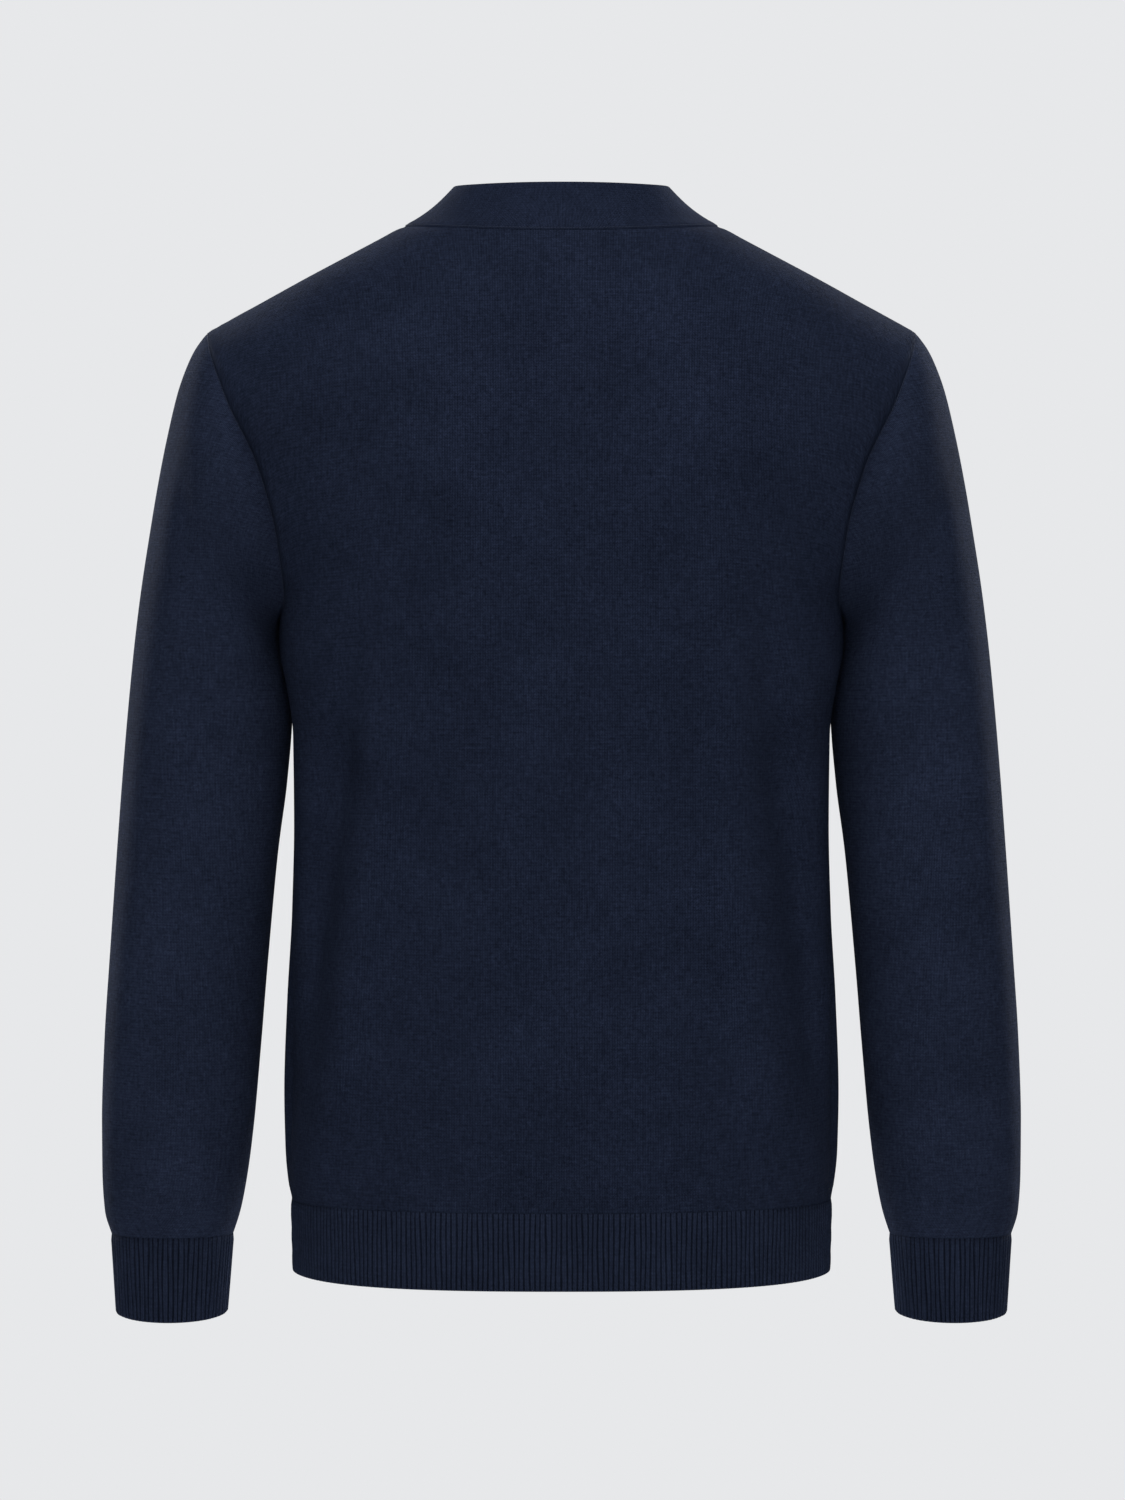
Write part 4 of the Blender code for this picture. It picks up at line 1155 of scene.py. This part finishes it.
def knit_loops_group():
    """Rows of V-shaped stitches: their height, and how far their yarn stands out, which sets the
    painted shade between their legs.
    """
    tree, given, result = node_group(
        "Knit loops",
        "ShaderNodeTree",
        [("Knit", "Vector"), ("Wale", "Float", 0.0021), ("Course", "Float", 0.0018)],
        [("Height", "Float"), ("Leg", "Float")],
    )
    maths = partial(math_node, tree)
    knit = split(tree, given["Knit"])
    across = maths("FRACT", maths("DIVIDE", knit["X"], given["Wale"]))
    aside = maths("ABSOLUTE", maths("SUBTRACT", across, 0.5))
    from_leg = maths("MULTIPLY_ADD", aside, 4.0, -1.0)
    leg = maths("SUBTRACT", 1.0, maths("MULTIPLY", from_leg, from_leg))
    courses = maths("DIVIDE", knit["Y"], given["Course"])
    along = maths("FRACT", maths("MULTIPLY_ADD", aside, -LEG_FALL, courses))
    swell = maths("POWER", maths("SINE", maths("MULTIPLY", along, math.pi)), 0.5)
    round_leg = maths("POWER", maths("MAXIMUM", leg, 0.0), 0.5)
    height = maths("MULTIPLY", round_leg, maths("MULTIPLY_ADD", swell, LEG_SWELL, 1 - LEG_SWELL))
    tree.links.new(height, result["Height"])
    tree.links.new(maths("MULTIPLY", leg, swell), result["Leg"])
    return tree


def yarn_tone_group():
    """Uneven washed dye: clouds, streaks along courses and wales, and paler stitches."""
    tree, given, result = node_group(
        "Yarn tone",
        "ShaderNodeTree",
        [("Place", "Vector"), ("Knit", "Vector"), ("Cloud Size", "Float", 0.05)],
        [(label, "Float") for label in ("Cloud", *STREAK_SCALES)],
    )
    size = node(tree, "ShaderNodeCombineXYZ", [given["Cloud Size"]] * 3).outputs[0]
    values = [given["Place"], size]
    clouds = node(tree, "ShaderNodeVectorMath", values, operation="DIVIDE").outputs[0]
    tree.links.new(noise(tree, clouds, scale=1.0, detail=6.0, roughness=0.65), result["Cloud"])
    for label, scale in STREAK_SCALES.items():
        drawn = stretched(tree, given["Knit"], scale)
        streaks = noise(tree, drawn, scale=1.0, detail=2.0, roughness=0.6)
        tree.links.new(streaks, result[label])
    return tree


def groove_painted_shade(tree, knit, look):
    """Painted shade: darker colour down in the grooves between ribs, which light hardly reaches."""
    maths = partial(math_node, tree)
    place = maths("FRACT", maths("DIVIDE", split(tree, knit)["X"], look.wale))
    from_crest = maths("ABSOLUTE", maths("MULTIPLY_ADD", place, 2.0, -1.0))
    return maths("MULTIPLY_ADD", maths("POWER", from_crest, 2.0), -look.groove_shade, 1.0)


def uneven(tree, value, share):
    """A factor round 1 from a value round a half."""
    return math_node(tree, "MULTIPLY_ADD", value, 2 * share, 1 - share)


def knit_material(name, colour, look, groups):
    """Matt knitted yarn: V stitches in the bump; in the colour, uneven dye and painted shade in the
    stitches' gaps and the ribs' grooves.
    """
    material, tree, shader = new_material(name, KNIT_GLOSS)
    maths = partial(math_node, tree)
    knit = node(tree, "ShaderNodeUVMap", uv_map=UV_NAME).outputs[0]
    values = {"Knit": knit, "Wale": look.wale, "Course": look.course}
    loops = node(tree, "ShaderNodeGroup", values, node_tree=groups["loops"]).outputs
    values = {"Place": own_place(tree), "Knit": knit}
    tone = node(tree, "ShaderNodeGroup", values, node_tree=groups["tone"]).outputs
    shares = (look.cloud, look.courses, look.wales, look.fleck)
    factors = [uneven(tree, part, share) for part, share in zip(tone, shares)]
    if look.groove_shade:
        factors.append(groove_painted_shade(tree, knit, look))
    # painted shade: darker colour in the gaps between the stitches' legs
    factors.append(maths("MULTIPLY_ADD", loops["Leg"], look.gap_shade, 1 - look.gap_shade / 2))
    paint(tree, shader, colour, reduce(partial(maths, "MULTIPLY"), factors))
    raise_bump(tree, shader, loops["Height"], look.bump, STITCH_RELIEF)
    return material


def linking_material(name, colour, groups):
    """Smooth matt yarn of the stitches that close the seams."""
    material, tree, shader = new_material(name, LINKING_GLOSS)
    values = {"Place": own_place(tree), "Knit": own_place(tree)}
    fleck = node(tree, "ShaderNodeGroup", values, node_tree=groups["tone"]).outputs["Fleck"]
    paint(tree, shader, colour, uneven(tree, fleck, LINKING_FLECK))
    raise_bump(tree, shader, fleck, LINKING_BUMP, STITCH_RELIEF / 4)
    return material


# ------------------------------------------------------------ sizes and colours
def length(name, description, default):
    return FloatProperty(name=name, description=description, default=default, unit="LENGTH")


def power(name, description, default):
    return FloatProperty(name=name, description=description + ", in watts", default=default)


def colour(name, description, default):
    return FloatVectorProperty(
        name=name, description=description, default=default, subtype="COLOR"
    )


class KnitSizes(PropertyGroup):
    """Sizes of the cloth and its stitches."""

    cloth: length("Cloth", "Thickness of the plain knit", 0.0018)
    rib_cloth: length("Rib cloth", "Thickness of the rib at its grooves", 0.0020)
    band_cloth: length("Band cloth", "Thickness of the doubled neckband", 0.0032)
    wale: length("Stitch width", "Width of a plain stitch", 0.0021)
    course: length("Stitch height", "Height of a plain stitch", 0.0018)
    rib_rise: length("Rib rise", "Height of a rib over its grooves", 0.0014)
    groove: length("Groove", "How far the grooves are sunk", 0.0006)
    bead: length("Linking stitch", "Thickness of a linking stitch", 0.0008)
    bead_depth: length("Stitch depth", "How far a stitch beside a seam is sunk", 0.0001)
    sunk_depth: length("Seam stitch depth", "How far a stitch in a seam is sunk", 0.0004)
    seam_dip: length("Seam dip", "How far the cloth sinks into a seam", 0.0007)


class YarnColours(PropertyGroup):
    """Colours of the yarns."""

    plain: colour("Body yarn", "Colour of the panels and the neckband", (0.0118, 0.0163, 0.0324))
    # Painted light: the sleeves' yarn is set paler than the body's, to make them brighter than their
    # lighting does.
    sleeve: colour("Sleeve yarn", "Colour of the slightly paler sleeves", (0.0150, 0.0205, 0.0400))
    # Painted light: the hem's and cuffs' yarn is set paler than the body's, to make them brighter
    # than their lighting does.
    rib: colour("Rib yarn", "Colour of the hem and cuffs", (0.0136, 0.0187, 0.0362))
    linking: colour("Linking yarn", "Colour of the seams' stitches", (0.0152, 0.0205, 0.0385))


class StageSizes(PropertyGroup):
    """The ground and the lights."""

    ground: colour("Ground", "Colour of the pale ground", (0.799, 0.807, 0.823))
    floor_z: length("Floor height", "Height of the floor", -1.45)
    floor_radius: length("Floor radius", "Radius of the round floor", 2.9)
    ambient: FloatProperty(
        name="Surrounding light",
        description="Share of the ground's light that falls on the cloth",
        default=0.20,
    )
    overhead: power("Overhead light", "Power of the light above", 37.0)
    front: power("Front lights", "Power of each light beside the camera", 22.0)
    rim: power("Rim lights", "Power of each light beyond the garment", 60.0)
    rim_above: power("Rim light above", "Power of the light above and beyond", 35.0)
    columns: IntProperty(
        name="Floor sides", description="Sides of the round floor", default=96, min=12
    )


YARNS = {}


def yarns():
    """The garment's materials, made once."""
    if YARNS:
        return YARNS
    groups = {"loops": knit_loops_group(), "tone": yarn_tone_group()}
    sizes, colours = bpy.context.scene.knit_sizes, bpy.context.scene.yarn_colours
    plain = KnitLook(
        wale=sizes.wale,
        course=sizes.course,
        bump=0.9,
        cloud=0.38,
        courses=0.50,
        wales=0.42,
        fleck=0.60,
        gap_shade=0.55,
        groove_shade=0.0,
    )
    band = plain._replace(courses=0.15, wales=0.40)
    rib = KnitLook(
        wale=RIB_PITCH,
        course=RIB_COURSE,
        bump=0.6,
        cloud=0.30,
        courses=0.25,
        wales=0.30,
        fleck=0.50,
        gap_shade=0.40,
        groove_shade=0.65,
    )
    knits = {
        "plain": (colours.plain, plain),
        # painted light: the sleeves get a paler copy of the plain knit
        "sleeve": (colours.sleeve, plain),
        "band": (colours.plain, band),
        # painted light: the ribs get a paler copy of the yarn
        "rib": (colours.rib, rib),
    }
    for name, (yarn_colour, look) in knits.items():
        YARNS[name] = knit_material(name + "_knit_yarn", yarn_colour, look, groups)
    YARNS["linking"] = linking_material("linking_yarn", colours.linking, groups)
    return YARNS


def dressed(made, solid):
    """Puts a finished piece of cloth in its solid's place."""
    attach(made, "root")
    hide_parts(solid)


# -------------------------------------------------------------------- operators
class PULLOVER_OT_panels(Operator):
    """Knit the back and the front"""

    bl_idname = "pullover.panels"
    bl_label = "Back and Front"

    def execute(self, context):
        sizes = context.scene.knit_sizes
        for panel in ("back", "front"):
            wall = panel_wall(panel, sizes.seam_dip)
            made = shell_object(panel + "_knit", wall, sizes.cloth)
            made.data.materials.append(yarns()["plain"])
            dressed(made, panel)
        return {"FINISHED"}


class PULLOVER_OT_sleeves(Operator):
    """Knit the two sleeves"""

    bl_idname = "pullover.sleeves"
    bl_label = "Sleeves"

    def execute(self, context):
        sizes = context.scene.knit_sizes
        for hand in ("left", "right"):
            wall = sleeve_wall("sleeve_" + hand, sizes.seam_dip)
            if hand == "right":
                wall = mirrored(wall)
            made = shell_object("sleeve_" + hand + "_knit", wall, sizes.cloth)
            # painted light: the sleeves' paler copy of the yarn
            made.data.materials.append(yarns()["sleeve"])
            dressed(made, "sleeve_" + hand)
        return {"FINISHED"}


class PULLOVER_OT_neckband(Operator):
    """Knit the doubled neckband"""

    bl_idname = "pullover.neckband"
    bl_label = "Neckband"

    def execute(self, context):
        sizes = context.scene.knit_sizes
        wall = neckband_wall(sizes.seam_dip)
        head = unit(wall.outer[-1] - wall.outer[-2])
        made = shell_object("neckband_knit", wall, sizes.band_cloth, head=head)
        made.data.materials.append(yarns()["band"])
        dressed(made, "neckband")
        return {"FINISHED"}


class PULLOVER_OT_ribs(Operator):
    """Knit the ribbed hem and cuffs"""

    bl_idname = "pullover.ribs"
    bl_label = "Hem and Cuffs"

    def execute(self, context):
        sizes = context.scene.knit_sizes
        tree = rib_tree()
        walls = {
            "hem_rib_back": hem_rib_wall("back", sizes.groove, sizes.rib_cloth),
            "hem_rib_front": hem_rib_wall("front", sizes.groove, sizes.rib_cloth),
            "cuff_left": cuff_wall(sizes.groove, sizes.rib_cloth),
        }
        walls["cuff_right"] = mirrored(walls["cuff_left"])
        values = {"Rib Rise": sizes.rib_rise, "Yarn": yarns()["rib"]}
        for solid, wall in walls.items():
            base = shell_object(solid + "_base", wall, sizes.rib_cloth, foot=-UP, relief=True)
            made = grown(base, tree, values, solid + "_knit")
            dressed(made, solid)
        return {"FINISHED"}


class PULLOVER_OT_linking(Operator):
    """Close the seams with their linking stitches"""

    bl_idname = "pullover.linking"
    bl_label = "Linked Seams"

    def execute(self, context):
        sizes = context.scene.knit_sizes
        tree = linking_tree()
        panels = [panel_wall(panel, sizes.seam_dip) for panel in ("back", "front")]
        hems = [hem_rib_wall(panel, sizes.groove, sizes.rib_cloth) for panel in ("back", "front")]
        arm = sleeve_wall("sleeve_left", sizes.seam_dip)
        cuff = cuff_wall(sizes.groove, sizes.rib_cloth)
        edge_z = panel_rows()
        lower = np.flatnonzero(edge_z <= UNDERARM[1])
        upper = np.flatnonzero(edge_z >= SHOULDER_TIP[1])
        sides = [between(*hems, np.arange(RIB_ROWS + 1)), between(*panels, lower)]
        seams = {
            "armhole": ([beside_seam(arm, -1 - BEAD_ROW)], sizes.bead_depth),
            "side": (sides, sizes.sunk_depth),
            "shoulder": ([between(*panels, upper)], sizes.sunk_depth),
            "sleeve": ([closing_seam(cuff), closing_seam(arm)], sizes.sunk_depth),
        }
        band = beside_seam(neckband_wall(sizes.seam_dip), BEAD_ROW)
        self.link(tree, sizes, "neck_linking", [band], sizes.bead_depth, False)
        for hand in ("left", "right"):
            for seam, (lines, depth) in seams.items():
                name = seam + "_linking_" + hand
                self.link(tree, sizes, name, lines, depth, hand == "right")
        return {"FINISHED"}

    def link(self, tree, sizes, name, lines, depth, flip):
        values = {
            "Pitch": sizes.wale,
            "Stitch Width": sizes.bead,
            "Depth": depth,
            "Yarn": yarns()["linking"],
        }
        made = grown(seam_object(name + "_line", lines, flip), tree, values, name)
        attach(made, "root")


class PULLOVER_OT_stage(Operator):
    """Set the camera, the pale ground and the soft lights"""

    bl_idname = "pullover.stage"
    bl_label = "Stage"

    def execute(self, context):
        stage = context.scene.stage_sizes
        add_camera()
        add_floor(stage)
        add_surroundings(stage)
        add_lights(stage)
        return {"FINISHED"}


# ------------------------------------------------------------------------ stage
CAMERA_PLACE = (-0.0007, 3.0, -0.344)  # level with the middle of the picture
CAMERA_LENS = 109.09  # for a frame 0.99 m high at the garment's middle
SoftLight = namedtuple("SoftLight", "name power x y z width height")
LIGHTS = [
    SoftLight("light_above", "overhead", 0.0, 0.9, 1.8, 2.0, 1.2),
    SoftLight("light_front_left", "front", 0.25, 2.9, 0.7, 1.0, 1.2),
    SoftLight("light_front_right", "front", -0.25, 2.9, 0.7, 1.0, 1.2),
    SoftLight("light_rim_left", "rim", 1.5, -1.5, 0.2, 0.5, 1.6),
    SoftLight("light_rim_right", "rim", -1.5, -1.5, 0.2, 0.5, 1.6),
    SoftLight("light_rim_above", "rim_above", 0.0, -1.6, 1.4, 1.6, 0.5),
]
GARMENT_MIDDLE = (0.0, 0.0, -0.33)
FADE_FROM, FADE_TO = 0.45, 0.98  # shares of the floor's radius


def add_camera():
    data = bpy.data.cameras.new("view_from_behind")
    data.lens = CAMERA_LENS
    camera = placed("view_from_behind", data)
    camera.location = CAMERA_PLACE
    camera.rotation_euler = (math.pi / 2, 0.0, math.pi)
    bpy.context.scene.camera = camera


def floor_material(ground, radius):
    """A pale matt floor that fades into the surroundings towards its rim."""
    material, tree, shader = new_material("pale_floor", FLOOR_GLOSS)
    place = own_place(tree)
    flat = stretched(tree, place, (1.0, 1.0, 0.0))
    from_middle = node(tree, "ShaderNodeVectorMath", [flat], operation="LENGTH")
    values = {
        "Value": from_middle.outputs["Value"],
        "From Min": FADE_FROM * radius,
        "From Max": FADE_TO * radius,
        "To Min": 1.0,
        "To Max": 0.0,
    }
    fade = node(tree, "ShaderNodeMapRange", values, interpolation_type="SMOOTHSTEP")
    tree.links.new(fade.outputs[0], shader.inputs["Alpha"])
    grain = noise(tree, place, scale=FLOOR_GRAIN_SCALE, detail=3.0)
    paint(tree, shader, ground, uneven(tree, grain, FLOOR_GRAIN))
    return material


def add_floor(stage):
    turns = np.linspace(0, 2 * math.pi, stage.columns, endpoint=False)
    radius = stage.floor_radius
    rim = points(radius * np.cos(turns), radius * np.sin(turns), stage.floor_z)
    data = bpy.data.meshes.new("floor")
    data.from_pydata(rim.tolist(), [], [list(range(stage.columns))])
    data.materials.append(floor_material(tuple(stage.ground), radius))
    placed("floor", data)


def add_surroundings(stage):
    """Pale surroundings, which light the cloth less than they show behind it."""
    world = bpy.data.worlds.new("pale_surroundings")
    world.use_nodes = True
    tree = world.node_tree
    seen = tree.nodes["Background"]
    shed = node(tree, "ShaderNodeBackground")
    for background, strength in ((seen, 1.0), (shed, stage.ambient)):
        background.inputs["Color"].default_value = (*stage.ground, 1.0)
        background.inputs["Strength"].default_value = strength
    to_camera = node(tree, "ShaderNodeLightPath").outputs["Is Camera Ray"]
    mix = node(tree, "ShaderNodeMixShader", [to_camera, shed.outputs[0], seen.outputs[0]])
    tree.links.new(mix.outputs[0], tree.nodes["World Output"].inputs["Surface"])
    bpy.context.scene.world = world
    bpy.context.scene.view_settings.view_transform = "Standard"


def add_lights(stage):
    for light in LIGHTS:
        data = bpy.data.lights.new(light.name, "AREA")
        data.shape = "RECTANGLE"
        data.size, data.size_y = light.width, light.height
        data.energy = getattr(stage, light.power)
        lamp = placed(light.name, data)
        lamp.location = (light.x, light.y, light.z)
        away = lamp.location - Vector(GARMENT_MIDDLE)
        lamp.rotation_euler = away.to_track_quat("Z", "Y").to_euler()


class PULLOVER_PT_sidebar(Panel):
    """The pullover's pieces, in the order in which they are made"""

    bl_label = "Knitted Pullover"
    bl_idname = "PULLOVER_PT_sidebar"
    bl_space_type = "VIEW_3D"
    bl_region_type = "UI"
    bl_category = "Pullover"

    def draw(self, context):
        for group in ("knit_sizes", "yarn_colours", "stage_sizes"):
            settings = getattr(context.scene, group)
            column = self.layout.column(align=True)
            for name in settings.__annotations__:
                column.prop(settings, name)
        for operator in OPERATORS:
            self.layout.operator(operator.bl_idname)


GROUP_CLASSES = (KnitSizes, YarnColours, StageSizes)
OPERATORS = (
    PULLOVER_OT_panels,
    PULLOVER_OT_sleeves,
    PULLOVER_OT_neckband,
    PULLOVER_OT_ribs,
    PULLOVER_OT_linking,
    PULLOVER_OT_stage,
)


def register():
    for made in (*GROUP_CLASSES, *OPERATORS, PULLOVER_PT_sidebar):
        bpy.utils.register_class(made)
    bpy.types.Scene.knit_sizes = PointerProperty(type=KnitSizes)
    bpy.types.Scene.yarn_colours = PointerProperty(type=YarnColours)
    bpy.types.Scene.stage_sizes = PointerProperty(type=StageSizes)


def unregister():
    for name in ("knit_sizes", "yarn_colours", "stage_sizes"):
        delattr(bpy.types.Scene, name)
    for made in reversed((*GROUP_CLASSES, *OPERATORS, PULLOVER_PT_sidebar)):
        bpy.utils.unregister_class(made)


def main():
    register()
    bpy.ops.pullover.panels()
    bpy.ops.pullover.sleeves()
    bpy.ops.pullover.neckband()
    bpy.ops.pullover.ribs()
    bpy.ops.pullover.linking()
    bpy.ops.pullover.stage()


if __name__ == "__main__":
    main()
